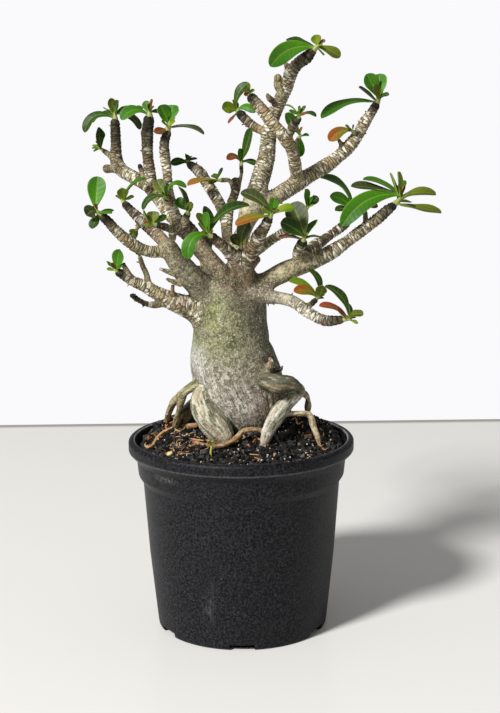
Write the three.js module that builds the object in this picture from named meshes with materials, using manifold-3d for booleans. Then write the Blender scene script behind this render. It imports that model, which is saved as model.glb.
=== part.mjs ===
// A potted desert rose: a swollen grey trunk on bare roots, knobbly limbs that end in sprays of
// obovate leaves, growing in bark and grit in a round black pot. Millimetres, +Z up. The origin
// is the middle of the pot's underside, and the side that the eye meets first faces -Y.
import * as THREE from 'three';
import { mergeVertices } from 'three/addons/utils/BufferGeometryUtils.js';
import Module from 'manifold-3d';

const wasm = await Module();
wasm.setup();

// Driving dimensions.
const pot = { height: 94.5, rimRadius: 55, baseRadius: 41.7, wall: 1.2, floor: 1.6, sides: 40 };
const notch = { count: 6, width: 12, height: 3, depth: 5 };
const soilBed = { level: 89, radius: 50, rings: 6, sides: 32, grain: 0.45 };
const gap = 0.35;             // clear space between two pieces that touch on the real thing
const trunkDepth = 0.86;      // the trunk's depth over its width
const limbSides = { thick: 8, thin: 6, thinUnder: 3.5 };
const trunkSides = 14;
const ringStep = 8;           // widest spacing of a limb's rings
const blade = { thickness: 0.8, fold: 0.1, stalk: 0.7, lowest: 1.8, ribbedFrom: 6 };

// Heaps of the soil over its level: centre x, y, height, spread.
const heaps = [
  [0, 12, 9, 26],
  [-32, 22, 6, 11],
  [31, 14, 8, 11],
];

// The trunk from its buried foot to the crotch of the limbs: x, y, z, radius across.
const trunk = [
  [4, 3, 90, 5], [4, 3, 96, 7], [4, 3, 101, 10.5], [4, 3, 106, 14.5], [3, 3, 111, 17.5],
  [2, 3, 116, 20], [-1, 3, 122, 21.5], [-3.6, 3, 130, 20.9], [-4.9, 3, 137, 18.6],
  [-4.5, 3, 143, 18.6], [-4.8, 2, 150, 17.7], [-4, 2, 157, 16.5], [-3, 1, 163, 15.5],
  [-2, 0, 168, 12], [-1, -1, 172, 7],
];

// Roots, thick at the trunk and buried at the far end: x, y, z, radius.
const roots = {
  leftAerial: [[-17, -3, 123, 3], [-21, -5, 122, 2.4], [-24, -6, 120.5, 2.2], [-27, -5, 118, 2.2],
    [-29, -3, 115, 2.2]],
  leftFootOut: [[-29, -3, 116, 2], [-32.5, 1, 112, 1.7], [-35.5, 10, 104.5, 1.6],
    [-37, 18, 98, 1.4], [-38, 22, 93, 1]],
  leftFootIn: [[-28.5, -4, 115, 2], [-29.5, -1, 110.5, 1.7], [-31, 4, 104, 1.6],
    [-32.5, 9, 97, 1.4], [-33, 11, 92, 1]],
  leftBack: [[-16, 1, 114, 4.5], [-23, 6, 108, 4], [-28, 12, 101, 3.5], [-31, 17, 93, 2]],
  frontFoot: [[-18, -7, 120, 3], [-19.5, -8.5, 115, 4.8], [-17.8, -10, 110, 6],
    [-14.5, -11, 105, 6.6], [-11, -12, 101, 6.4], [-8, -12.5, 96.5, 5], [-7, -12, 90, 2]],
  rightShelf: [[9, -12, 124.5, 2], [13, -13.5, 124.5, 4.2], [18, -14.5, 123.5, 4.8],
    [23, -13, 123, 4.3], [27, -10, 120, 3.3]],
  rightFoot: [[28, -9, 119, 3], [24, -10, 115, 3.5], [19, -12, 110, 4], [15, -14, 104, 3.5],
    [13, -15, 100, 3], [11, -15, 94, 2], [10, -15, 89, 1.5]],
  rightClaw: [[28, -9, 119, 2], [32, -3, 115, 1.5], [33, 5, 109, 1.5], [33, 14, 103, 1.5],
    [33, 16, 97, 1]],
  rightReach: [[20, -11, 109, 2], [24, -10, 108, 1.5], [29, -10, 108, 1.5], [33, -9, 107, 1.5],
    [35, -9, 101, 1.5], [37, -10, 96, 1.5], [38, -11, 92, 1], [39, -11, 87, 1]],
  frontFeeder: [[12, -13, 100, 1.3], [6, -14, 101.5, 1.3], [1, -14, 100.5, 1.3], [-2, -17, 98, 1.2],
    [-7, -19.5, 95.5, 1.1], [-13, -19, 94.5, 1], [-21, -11, 94, 1], [-26, 0, 93, 1]],
  backLeft: [[-8, 14, 118, 5], [-15, 22, 110, 4], [-20, 29, 103, 3], [-24, 34, 97, 2],
    [-26, 37, 90, 1.5]],
  backRight: [[8, 14, 116, 5], [12, 22, 110, 4.5], [14, 30, 104, 3.5], [17, 36, 97, 2],
    [18, 39, 90, 1.5]],
  leftFeeder: [[-22, 4, 99, 1.5], [-29, 10, 97, 1.2], [-35, 11, 95.5, 1], [-40, 12, 94.5, 1],
    [-44, 9, 93, 1], [-46.5, 6, 92, 1]],
};

// Limbs, each from inside what it grows from to its tip: x, y, z, radius.
const limbs = {
  lowLeft: [[-13, -1, 151, 6.5], [-18.5, -2.5, 155, 5.8], [-24, -4.5, 158.8, 5],
    [-33, -9, 163.6, 4], [-40, -11, 167.7, 2.9], [-45, -13, 171, 2.4], [-51, -15, 174, 2.1],
    [-56, -17.5, 178, 1.7]],
  lowLeftShoot: [[-43, -12, 170, 1.8], [-44, -10, 176, 1.4], [-46, -8, 180, 1.3],
    [-47, -6, 183, 1.1]],
  lowLeftTwig: [[-35, -10, 163, 2], [-40, -13, 162, 1.6], [-44, -16, 163, 1.2], [-48, -20, 166, 1],
    [-50, -22, 168, 0.8]],
  lowLeftStub: [[-51, -15, 175, 1.5], [-54, -19, 182, 1]],
  left: [[-10, -2, 164, 6], [-16, -4, 168, 6.1], [-21, -7, 172.2, 6], [-26, -10, 178, 5.7],
    [-30, -12, 184, 4.9], [-33, -14, 189, 3.9]],
  leftLow: [[-32, -14, 188, 3], [-42, -17, 188, 2.4], [-48, -20, 191, 2.3], [-55, -24, 197, 2.3],
    [-60, -26, 203, 2], [-62.4, -27.5, 205.5, 1.8]],
  leftHigh: [[-33, -12, 188, 3], [-37, -8, 193, 3], [-42, -4, 197, 2.5], [-47, 0, 201, 2.5],
    [-52, 3, 205.5, 2], [-54, 4.5, 207.6, 1.8]],
  leftHighTwig: [[-47, 0, 200, 1.5], [-48, -2, 198, 1]],
  leftFront: [[-32, -14, 190, 2], [-31, -21, 194, 1.5], [-31, -27, 199, 1.5], [-34, -31, 201, 1.5],
    [-37, -33, 202, 1]],
  fork: [[-2, -6, 166, 5.5], [-8, -11, 176, 4.1], [-13, -12, 182, 4], [-19, -11, 189, 4],
    [-23, -10, 195, 4], [-27, -8, 199, 4]],
  forkUp: [[-27, -8, 198, 3], [-30, -10, 204, 2.5], [-32, -12, 210, 2.5], [-33, -14, 215, 2.5],
    [-33, -15, 222, 2], [-34, -15, 232, 2], [-34, -15, 238, 2], [-33, -15, 242, 2]],
  forkSpurA: [[-33, -13, 211, 1.5], [-33, -20, 213, 1.5]],
  forkSpurB: [[-26, -10, 200, 2], [-24, -15, 205, 1.5]],
  back: [[-27, -6, 198, 3.5], [-33, 2, 204, 3.5], [-38, 10, 209, 3], [-43, 15, 215, 3],
    [-51, 22, 219, 3], [-58, 31, 222, 3], [-61, 35, 227, 3], [-61, 36, 234, 2.5],
    [-61, 36, 245, 2]],
  backMid: [[-42, 15, 214, 2.5], [-43, 15, 222, 2.5], [-44, 15, 230, 2.5], [-44, 15, 238, 2.5],
    [-43, 15, 247, 2.5]],
  backStub: [[-59, 31, 223, 2], [-65, 30, 223, 2]],
  backTwig: [[-61, 36, 227, 1.5], [-67, 38, 231, 1]],
  backSnag: [[-45, 16, 217, 1.5], [-48, 17, 225, 1]],
  backNub: [[-44, 15, 240, 1.5], [-46, 15, 241, 1]],
  hidden: [[-8, 3, 160, 5.5], [-12, 9, 169, 4.8], [-15.5, 18, 176, 3.7], [-17, 28, 182, 2.8],
    [-16, 34, 187, 2.5]],
  hiddenSnag: [[-15, 17, 174, 1.5], [-23, 14, 176, 1]],
  centreLeft: [[3, -8, 169, 4], [1, -16, 178, 3.5], [-2, -21, 185, 3], [-6, -26, 190, 2.5],
    [-12, -31, 196, 2]],
  centreFront: [[3, -9, 169, 4], [2.5, -17, 180, 3.5], [5.5, -22, 188, 3.1], [9, -26, 195.5, 3],
    [11.7, -29, 200.5, 2.5], [13.4, -31, 204, 2]],
  centreStub: [[3, -12, 177, 2.5], [8, -11, 183, 1.5]],
  centreSpur: [[1, -16, 181, 2], [0.9, -20, 188.7, 1.4]],
  right: [[4, -4, 184, 3], [11, -6, 189, 2.5], [17, -8, 193, 2], [23, -9, 197, 2], [27, -9, 202, 2],
    [30, -9, 205, 1.5]],
  inner: [[-4, 2, 186, 3], [-6, 7, 193, 2.5], [-6, 12, 201, 2.5], [-4, 15, 207, 2],
    [-2, 17, 212, 2], [-2, 19, 217, 2]],
  innerRight: [[-1, 18, 214, 1.5], [1, 20, 220, 1], [1, 21, 224, 1]],
  innerLeft: [[-3, 18, 215, 1], [-5, 17, 218, 1], [-8, 17, 218, 1]],
  innerBack: [[-7, 12, 200, 2.5], [-10, 19.5, 207, 2.5], [-15, 28, 214, 2.5], [-20, 33, 221, 2.5],
    [-24, 36, 224, 2]],
  innerSnag: [[-17, 29, 216, 1.5], [-17, 30, 221, 1]],
  main: [[1, -3, 168, 6.5], [1, -4, 178, 5], [-1, -1, 186, 4.5], [2, 3, 195, 3.5],
    [4.3, 6, 202, 4.9], [7.3, 10, 210, 4.9], [9.8, 13, 218, 4.4], [13, 16, 228, 4],
    [14, 18, 237, 3.5], [17, 18, 249, 3],
    [20, 17, 256, 3], [23, 15, 262, 3], [25, 12, 269, 3], [28, 10, 273, 2.5], [32, 8, 276, 2.5],
    [35, 6, 279, 2]],
  mainStub: [[25, 13, 268, 1.5], [22, 12, 274, 1]],
  mainSnag: [[21, 16, 260, 1], [18, 15, 264, 1]],
  mainSide: [[15, 19, 240, 2], [8, 22, 243, 2], [4, 24, 246, 2], [1, 26, 249, 2]],
  crossing: [[5, 5, 203, 3.5], [12, 11, 207, 4], [21, 17, 211.8, 3.9], [29, 21, 216.6, 3.8],
    [39.3, 25, 222.2, 3.5], [47.4, 28, 227.2, 3.1], [53.4, 29.3, 232.4, 2.9],
    [58.4, 30, 238.8, 2.8], [62, 30, 245, 2.5], [65, 30, 249.5, 2], [66.6, 30, 252.4, 2]],
  crossingStub: [[52, 29, 231, 1.5], [49, 28, 236, 1]],
  crossingSpur: [[58, 30, 238, 1.5], [56, 27, 240, 1]],
  inward: [[29, 20, 217, 3.2], [27.4, 15.5, 222.7, 2.9], [26.5, 12, 227.7, 2.7],
    [24.9, 8, 233.9, 2.7], [21.3, 4.5, 239.6, 2.8], [16.6, 3, 244.8, 2.8], [12, 3.5, 251, 2.7],
    [6.5, 4.5, 257.5, 2.2]],
  inwardTwig: [[22.5, 5, 237, 2.2], [24.6, -1.5, 242.6, 1.9], [27.4, -7.5, 248, 1.6]],
  inwardSpur: [[25.3, 9.5, 233.5, 1.5], [28.3, 14, 237.5, 1]],
  lowRight: [[0, -4, 167, 6], [9, -8, 170, 5], [17, -12, 174.9, 4.8], [24, -13, 178.6, 4.8],
    [31, -12, 181, 4.2], [40.3, -11, 184.5, 3.3], [50.4, -8, 190.5, 2.8],
    [57.2, -5, 195, 2.6],
    [66, -3, 201.3, 2.5], [70.5, -1.3, 204.8, 2.4], [72.5, -0.4, 206.4, 2]],
  lowRightUp: [[28, -13, 180, 2.5], [27, -18, 187, 2], [29, -22, 192, 2]],
  lowRightBack: [[31, -11, 181, 2.5], [32, 4, 184, 2.5], [38, 14, 187, 2.5], [44, 22, 190, 2],
    [52, 28, 195, 2], [55, 31, 199, 2]],
  lowRightSpur: [[60, -3, 198, 1.5], [60, 2, 203, 1]],
  underRight: [[5, -8, 168, 4.5], [11, -14, 166.3, 3.7], [19, -20, 166, 3.1],
    [26, -27, 164.8, 2.6], [32, -33, 161, 2.3], [39, -37, 158, 2.1], [46, -40, 159, 1.5]],
  underRightUp: [[28, -29, 164, 1.5], [32, -25, 163, 1.5], [35, -22, 165, 1]],
};

// Leaf sprays, each on the tip of the limb of the same name. tip is the length of the growing
// point, and a leaf is across, away, up from the limb's end to the leaf's point, then its width,
// the rise of its arch and its turn, in degrees, from facing the front to facing the sky.
const sprays = {
  back: { tip: 5, tone: 'dark', leaves: [
    [-15, -2, -4.5, 6, 5, 40], [-12, 9, 0, 6, 3, 50], [-2, 3, 12, 5, -1, 40], [8, 7, 7, 6, 1, 60],
    [8, -5, 6, 5, 1, 30], [12, 3, -3.5, 6, 2.5, 40], [-5, 14, 6, 7, 0, 50],
  ] },
  backTwig: { tip: 3, tone: 'dark', leaves: [
    [-2, -3, 12, 7, -2, 50],
  ] },
  backMid: { tip: 5, tone: 'green', leaves: [
    [-13, -4, 0.5, 6.5, 3.5, 40], [-2, 4, 9, 4, 0, 0], [2, -4, 10, 4, 0, 60], [-5, 13, 5, 6, 1, 50],
  ] },
  forkUp: { tip: 6, tone: 'green', leaves: [
    [-5.5, -5, 1, 4, 0, 20], [17.3, -4, 0, 6, 2.2, 70], [4, -4, 6, 4, 0, 50], [-3, 0, 13, 8, 0, 30],
    [3, 4, 13, 8, 0, 20], [4, 10, 9, 6, 1, 50],
  ] },
  leftLow: { tip: 5, tone: 'green', leaves: [
    [-4.5, -5, -5, 5, 0, 20], [5, 3, 2.5, 3, 0, 40], [-6.5, -6, 1, 7, 1, 0],
    [-2, 3, 18, 8.5, 0, 10],
  ] },
  leftHigh: { tip: 4, tone: 'green', leaves: [
    [-1.5, -5, 8.5, 5.5, 1, 0], [9, 1, 12.5, 5, 2.2, 60], [0, 8, 5, 4, 1, 40],
  ] },
  leftHighTwig: { tip: 3, tone: 'green', leaves: [
    [-4, -2, -5, 3, 0, 0], [-2, 3, -8, 4, 0, 70],
  ] },
  lowLeft: { tip: 3, tone: 'green', leaves: [
    [0.5, -3.5, 11.5, 6, 0, 0], [-6, 0, 5.5, 3, 0, 60],
  ] },
  lowLeftShoot: { tip: 2.5, tone: 'dark', leaves: [
    [-2, -2, 4, 2, 0, 0],
  ] },
  leftFront: { tip: 3, tone: 'yellow', leaves: [
    [-6, -3, 7, 4, -1, 60], [-2, 2, 6, 6, 0, 0],
  ] },
  forkSpurA: { tip: 3, tone: 'green', leaves: [
    [-11, -4, -5, 5, 3, 50], [9, -3, 5, 5, 4, 60], [-5, 3, 8, 6, 0, 0], [-1, -8, 6, 4, 0, 60],
  ] },
  forkSpurB: { tip: 3, tone: 'green', leaves: [
    [-5, 2, 7, 5, 0, 0], [-4, 7, 12, 6, 1, 70], [2, -3, 6, 3, 0, 0],
  ] },
  centreLeft: { tip: 4, tone: 'green', leaves: [
    [-11, -8, -9, 7, 5, 20], [17, 4, 14, 9, 4, 50], [-7, 1, 11, 5, 0, 40], [-3, 9, 13, 7, 0, 60],
    [-2, -7, 12, 6, 0, 50],
  ] },
  innerBack: { tip: 4, tone: 'dark', leaves: [
    [-10, -4, 1, 4, 1, 0], [-2, 3, 5, 3, 0, 40], [3, 4, 3, 3, 0, 50],
  ] },
  innerLeft: { tip: 3, tone: 'yellow', leaves: [
    [-17, -4, -2, 7, 1, 70], [-4, 3, 3, 3, 0, 20],
  ] },
  innerRight: { tip: 3, tone: 'dark', leaves: [
    [-7, -3, 4, 4, 2, 50], [8, 0, 1, 3, 1, 10], [-1, -3, 9, 4, 0, 30], [5, -5, 19, 7, -1, 60],
  ] },
  mainSide: { tip: 4, tone: 'red', leaves: [
    [-6, -4, -4, 3, 0, 50], [-9, -4, 3, 6, 1, 0], [7, -3, 1, 4, 2, 0], [4, 2, 15, 6, 2, 60],
  ] },
  inward: { tip: 3, tone: 'green', leaves: [
    [-4, -2, 2, 2, 0, 0], [1, 2, 4, 2, 0, 30],
  ] },
  main: { tip: 4, tone: 'green', leaves: [
    [-20, -6, -7, 9, 4, 0], [-12, 7, 5.5, 7, 0, 60], [12.8, -2, -3, 6, 0.6, 30],
    [1, -2, 7.4, 5, 0, 0], [5, 9, 4, 5, 0, 40],
  ] },
  inwardTwig: { tip: 3, tone: 'dark', leaves: [
    [-8, 0, 6.5, 3, 2, 70], [8.6, -3, 1.2, 4, 1.4, 60],
  ] },
  inwardSpur: { tip: 3, tone: 'green', leaves: [
    [1, 8, -9, 5, 1, 20], [-6, -3, 12.5, 6, 0, 40],
  ] },
  crossing: { tip: 5, tone: 'green', leaves: [
    [-26.6, -6, -5.4, 9, 3.4, 50], [-8, 0, 9.5, 5, 0, 70], [6.5, -3, 5.5, 3, 1, 40],
    [-1, -5, 10.5, 4.5, 0, 30], [-4.5, -1, 15.5, 8, 0, 30], [2.5, 5, 15.5, 8, 0, 20],
  ] },
  crossingSpur: { tip: 2.5, tone: 'amber', leaves: [
    [-12, -2, -4, 6, 2, 0],
  ] },
  lowRight: { tip: 8.5, tone: 'green', leaves: [
    [22.5, -7.5, -2.4, 8, 0, 60], [20.5, -2.5, 5.6, 8, 2.6, 60], [6.5, 8.5, 11.6, 5, 0, 50],
    [-0.5, 4.5, 15.6, 6, 0, 70], [2.5, -2.5, 16.6, 6, 0, 60], [-13.5, 5.5, 12.6, 8, 2, 60],
    [-19.5, 1.5, 9.6, 9, 1, 60], [-24.5, -9.5, -8.4, 9, 6, 20],
  ] },
  lowRightBack: { tip: 3, tone: 'green', leaves: [
    [-16, 0, 19, 9, 5, 60], [-10.5, -3, 9.8, 6, 2, 20],
  ] },
  lowRightSpur: { tip: 3, tone: 'dark', leaves: [
    [6, 0, 3, 3, 1, 40],
  ] },
  lowRightUp: { tip: 4, tone: 'dark', leaves: [
    [-11, -5, 3, 5, 1, 60], [9, 4, 2, 4, 1, 70], [7, 6, 10, 6, 0, 70], [-10, -5, 10, 8, 1, 30],
    [-5, 3, 18, 10.5, 1, 0],
  ] },
  right: { tip: 4, tone: 'dark', leaves: [
    [-3, -2, 5, 3, 0, 60], [1, -3, 11, 5, 0, 50], [7, 2, 7, 4, 0, 0],
  ] },
  centreFront: { tip: 5, tone: 'yellow', leaves: [
    [-15, -4, -2, 6, 1, 40], [12, 0, 5, 5, 1, 40], [-12.5, 3, 12, 7, 2, 30], [3, 3, 9, 5, 0, 0],
    [-2, -9, 6, 5, 0, 50],
  ] },
  centreSpur: { tip: 3, tone: 'green', leaves: [
    [-4.6, -2, 7, 5, 0, 20], [3.7, -2.5, 13.5, 7, 1, 10],
  ] },
  underRight: { tip: 5, tone: 'dark', leaves: [
    [10, -4, 3, 5, 1, 60], [-2, -5, 6, 3, 0, 60], [-10, -3, 7, 5, 2, 60], [-7, 4, 15, 7, 3, 60],
  ] },
  underRightUp: { tip: 3, tone: 'olive', leaves: [
    [-10, -4, 5, 5, 2, 20], [-12, 1, 9, 6, 2, 50], [-3, 5, 14, 6, 3, 60], [3.5, -3, 7.5, 5.5, 0, 0],
  ] },
  hidden: { tip: 4, tone: 'green', leaves: [
    [-4, 8, 8, 5, 1, 10], [3, 6, 11, 5, 1, 20], [-1, 15, 2, 6, 2, 40],
  ] },
};

const colours = {
  pot: 0x1d1e20, soil: 0x231a14, bark: 0x938e79,
  green: 0x4a8a2a, dark: 0x2c4d22, olive: 0x76802f, yellow: 0x9aa83a,
  amber: 0xb5712a, red: 0x8a4a2c,
};

const up = new THREE.Vector3(0, 0, 1);
const toEye = new THREE.Vector3(0, -0.98, 0.2);

// A closed solid from a three.js geometry, with its seams merged and its flat triangles dropped.
function toSolid(geometry) {
  const bare = geometry.index ? geometry.clone() : geometry;
  bare.deleteAttribute('normal');
  bare.deleteAttribute('uv');
  const merged = mergeVertices(bare, 1e-4);
  const corners = merged.index.array;
  const kept = [];
  for (let i = 0; i < corners.length; i += 3) {
    const [a, b, c] = [corners[i], corners[i + 1], corners[i + 2]];
    if (a !== b && b !== c && c !== a) kept.push(a, b, c);
  }
  return new wasm.Manifold(new wasm.Mesh({
    numProp: 3,
    vertProperties: new Float32Array(merged.attributes.position.array),
    triVerts: new Uint32Array(kept),
  }));
}

function toGeometry(solid) {
  const mesh = solid.getMesh();
  const geometry = new THREE.BufferGeometry();
  geometry.setAttribute('position', new THREE.BufferAttribute(mesh.vertProperties, 3));
  geometry.setIndex(new THREE.BufferAttribute(mesh.triVerts, 1));
  geometry.computeVertexNormals();
  return geometry;
}

// A closed skin over rings of equal count, with a fan over each end.
function skin(rings) {
  const count = rings[0].length;
  const points = rings.flat();
  const index = [];
  for (let r = 0; r + 1 < rings.length; r += 1) {
    for (let k = 0; k < count; k += 1) {
      const a = r * count + k;
      const b = r * count + (k + 1) % count;
      index.push(a, b, b + count, a, b + count, a + count);
    }
  }
  const last = (rings.length - 1) * count;
  for (let k = 1; k + 1 < count; k += 1) {
    index.push(0, k + 1, k);
    index.push(last, last + k, last + k + 1);
  }
  const geometry = new THREE.BufferGeometry().setFromPoints(points);
  geometry.setIndex(index);
  return toSolid(geometry);
}

// Two directions square to a limb's course, turned as little as possible from ring to ring.
function crossFrame(tangent, previous) {
  const side = previous.clone().addScaledVector(tangent, -previous.dot(tangent)).normalize();
  return [side, tangent.clone().cross(side)];
}

function sidesFor(stations) {
  const thick = stations.some((station) => station[3] > limbSides.thinUnder);
  return thick ? limbSides.thick : limbSides.thin;
}

// A limb: round rings along a smooth curve through its stations, grown outward by `grow`.
function limbSolid(stations, grow = 0, depthRatio = 1, sides = sidesFor(stations)) {
  const places = stations.map(([x, y, z]) => new THREE.Vector3(x, y, z));
  const course = new THREE.CatmullRomCurve3(places, false, 'centripetal');
  const steps = Math.max(stations.length - 1, Math.ceil(course.getLength() / ringStep));
  const rings = [];
  let side = new THREE.Vector3(1, 0, 0);
  if (Math.abs(course.getTangent(0).x) > 0.9) side.set(0, 1, 0);
  for (let s = 0; s <= steps; s += 1) {
    const t = s / steps;
    const place = t * (stations.length - 1);
    const from = Math.min(Math.floor(place), stations.length - 2);
    const radius = THREE.MathUtils.lerp(stations[from][3], stations[from + 1][3], place - from) + grow;
    const centre = course.getPoint(t);
    const tangent = course.getTangent(t);
    const [across, deep] = crossFrame(tangent, side);
    side = across;
    if (s === 0) centre.addScaledVector(tangent, -grow);
    if (s === steps) centre.addScaledVector(tangent, grow);
    const ring = [];
    for (let k = 0; k < sides; k += 1) {
      const angle = 2 * Math.PI * k / sides;
      ring.push(centre.clone().addScaledVector(across, radius * Math.cos(angle))
        .addScaledVector(deep, radius * depthRatio * Math.sin(angle)));
    }
    rings.push(ring);
  }
  return skin(rings);
}

const joined = (solids) => solids.reduce((all, next) => all.add(next));

// The largest body of a solid, without loose crumbs and with any sealed hollow filled.
function largest(solid) {
  const pieces = solid.decompose();
  return pieces.reduce((best, next) => (next.volume() > best.volume() ? next : best));
}

// A leaf: flat sections along an arched course, widest past the middle. A broad one is folded up
// along its rib.
function leafSolid(root, reach, width, arch, turn) {
  const course = reach.clone().normalize();
  const lift = up.clone().addScaledVector(course, -up.dot(course)).normalize();
  const front = toEye.clone().addScaledVector(course, -toEye.dot(course)).normalize();
  const sky = course.clone().cross(front);
  if (sky.z < 0) sky.negate();
  const angle = THREE.MathUtils.degToRad(turn);
  const facing = front.multiplyScalar(Math.cos(angle)).addScaledVector(sky, Math.sin(angle));
  const shape = [[0, 0], [0.36, 0.72], [0.7, 1], [0.92, 0.6], [1, 0.15]];
  if (width < blade.ribbedFrom) shape.splice(3, 2, [1, 0.3]);
  const rings = shape.map(([t, share]) => {
    const centre = root.clone().addScaledVector(reach, t)
      .addScaledVector(lift, arch * 4 * t * (1 - t));
    const slope = arch * 4 * (1 - 2 * t) / reach.length();
    const tangent = course.clone().addScaledVector(lift, slope).normalize();
    const face = facing.clone().addScaledVector(tangent, -facing.dot(tangent)).normalize();
    const side = tangent.clone().cross(face);
    const half = Math.max(blade.stalk, share * width / 2);
    const edge = blade.fold * share * width;
    const corner = (across, out) => centre.clone().addScaledVector(side, across * half)
      .addScaledVector(face, Math.abs(across) * edge + out * blade.thickness / 2);
    const plain = [corner(-1, 1), corner(1, 1), corner(1, -1), corner(-1, -1)];
    const ribbed = [plain[0], corner(0, 1), plain[1], plain[2], corner(0, -1), plain[3]];
    return width < blade.ribbedFrom ? plain : ribbed;
  });
  return skin(rings);
}

// A spray: a short growing point just past the limb's end, with leaves from its foot to its top.
function spraySolid(stations, spray) {
  const end = new THREE.Vector3(...stations.at(-1).slice(0, 3));
  const before = new THREE.Vector3(...stations.at(-2).slice(0, 3));
  const course = end.clone().sub(before).normalize();
  const radius = Math.max(1.1, stations.at(-1)[3] * 0.85);
  const foot = end.clone().addScaledVector(course, gap);
  const top = end.clone().addScaledVector(course, gap + spray.tip);
  const point = limbSolid([[...foot, radius], [...top, 0.6]]);
  const leaves = spray.leaves.map(([across, away, rise, width, arch, turn], i) => {
    const height = gap + THREE.MathUtils.lerp(blade.lowest, spray.tip, i / spray.leaves.length);
    const root = end.clone().addScaledVector(course, height);
    const reach = end.clone().add(new THREE.Vector3(across, away, rise)).sub(root);
    return leafSolid(root, reach, width, arch, turn);
  });
  return largest(joined([point, ...leaves]));
}

// The pot: a lathe-turned shell with a rolled rim, a stepped collar and drainage notches.
function potSolid() {
  const { height, rimRadius, baseRadius, wall, floor, sides } = pot;
  const outline = [
    [0, 0], [baseRadius - 1, 0], [baseRadius, 1], [45.5, 37.5], [48.1, 73.6], [50.3, 77],
    [51.1, 85], [rimRadius, height - 5.5], [rimRadius, height - 1.2], [rimRadius - 1, height],
    [rimRadius - 2.2, height], [51.9, height - 2], [50.6, 89], [49.7, 84.5], [49.1, 77.5],
    [46.9, 74], [baseRadius - wall + 0.1, floor], [0, floor],
  ];
  const shape = outline.map(([r, z]) => new THREE.Vector2(r, z));
  const shell = toSolid(new THREE.LatheGeometry(shape, sides).rotateX(Math.PI / 2));
  const cutter = new THREE.BoxGeometry(2 * notch.depth, notch.width, 2 * notch.height);
  cutter.translate(baseRadius, 0, 0);
  const cuts = [];
  for (let i = 0; i < notch.count; i += 1) {
    const turn = (i / notch.count - 0.25) * 2 * Math.PI;
    cuts.push(toSolid(cutter.clone().rotateZ(turn)));
  }
  return shell.subtract(joined(cuts));
}

// Height of the soil: its level, the heaps, and a grain of crossed waves.
function soilHeight(x, y) {
  const heaped = heaps.reduce((sum, [hx, hy, rise, spread]) => (
    sum + rise * Math.exp(-((x - hx) ** 2 + (y - hy) ** 2) / (2 * spread ** 2))), soilBed.level);
  return heaped + soilBed.grain * (Math.sin(x * 0.9 + y * 0.5) + Math.sin(y * 1.1 - x * 0.4));
}

// The soil: a bed that fills the pot, with a plain hole wherever the plant stands in it.
function soilSolid(plant) {
  const wallSide = [[0, 2], [40, 2], [46.2, 73.6], [48.3, 77.7], [49, 84.5]];
  const outline = wallSide.map(([r, z]) => new THREE.Vector2(r, z));
  for (let i = 0; i <= soilBed.rings; i += 1) {
    outline.push(new THREE.Vector2(soilBed.radius * (1 - i / soilBed.rings), soilBed.level));
  }
  const bed = new THREE.LatheGeometry(outline, soilBed.sides).rotateX(Math.PI / 2);
  const spots = bed.attributes.position;
  for (let i = 0; i < spots.count; i += 1) {
    const [x, y, z] = [spots.getX(i), spots.getY(i), spots.getZ(i)];
    if (z > soilBed.level - 1) spots.setZ(i, soilHeight(x, y));
  }
  return largest(toSolid(bed).subtract(plant));
}

const lower = (grow) => joined([
  limbSolid(trunk, grow, trunkDepth, trunkSides),
  ...Object.values(roots).map((stations) => limbSolid(stations, grow)),
]);
const plant = largest(joined([
  lower(0), ...Object.values(limbs).map((stations) => limbSolid(stations)),
]));

const group = new THREE.Group();

function place(name, solid, colour, roughness) {
  const material = new THREE.MeshStandardMaterial({ color: colour, roughness, metalness: 0 });
  const mesh = new THREE.Mesh(toGeometry(solid), material);
  mesh.name = name;
  group.add(mesh);
}

place('pot', potSolid(), colours.pot, 0.6);
place('soil', soilSolid(lower(gap)), colours.soil, 0.95);
place('trunk_and_limbs', plant, colours.bark, 0.8);
for (const [name, spray] of Object.entries(sprays)) {
  place(`leaves_${name}`, spraySolid(limbs[name], spray), colours[spray.tone], 0.4);
}

export default group;
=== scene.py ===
import math
import bpy
import numpy as np
from mathutils import Matrix


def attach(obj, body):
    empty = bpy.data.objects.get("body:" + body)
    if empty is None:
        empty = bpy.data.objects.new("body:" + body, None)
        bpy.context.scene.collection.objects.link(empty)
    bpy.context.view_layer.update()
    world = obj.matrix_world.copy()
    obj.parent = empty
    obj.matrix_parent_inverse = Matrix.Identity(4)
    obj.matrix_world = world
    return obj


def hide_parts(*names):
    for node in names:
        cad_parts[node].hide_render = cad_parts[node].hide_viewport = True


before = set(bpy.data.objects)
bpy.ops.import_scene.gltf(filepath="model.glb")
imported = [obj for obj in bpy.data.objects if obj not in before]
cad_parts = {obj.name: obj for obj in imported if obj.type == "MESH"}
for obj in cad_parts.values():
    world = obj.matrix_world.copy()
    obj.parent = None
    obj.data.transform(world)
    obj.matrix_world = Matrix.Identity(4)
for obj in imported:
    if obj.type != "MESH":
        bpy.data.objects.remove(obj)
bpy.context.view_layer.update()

# A potted desert rose. Lengths are in millimetres until a mesh is made, and angles in degrees.
scene = bpy.context.scene
mm = 0.001
golden = 137.508  # the turn from one leaf or leaf scar to the next


# Helpers for meshes.

def unit(v):
    return v / np.linalg.norm(v, axis=-1, keepdims=True)


# A colour given as a web code, worked out as linear light.
def paint(code):
    parts = [int(code[i:i + 2], 16) / 255 for i in (1, 3, 5)]
    return tuple(c / 12.92 if c < 0.04 else ((c + 0.055) / 1.055) ** 2.4 for c in parts)


# Places round an axis: the reach times the cosine and the sine of the turn.
def polar(reach, turn):
    return reach * np.cos(turn), reach * np.sin(turn)


# Places strewn evenly over a disc: the root of a random share keeps them from crowding its middle.
def strewn(dice, radius, count=None, least=0):
    reach = radius * np.sqrt(dice.uniform(least, 1, count))
    return polar(reach, dice.uniform(0, 2 * np.pi, count))


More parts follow.
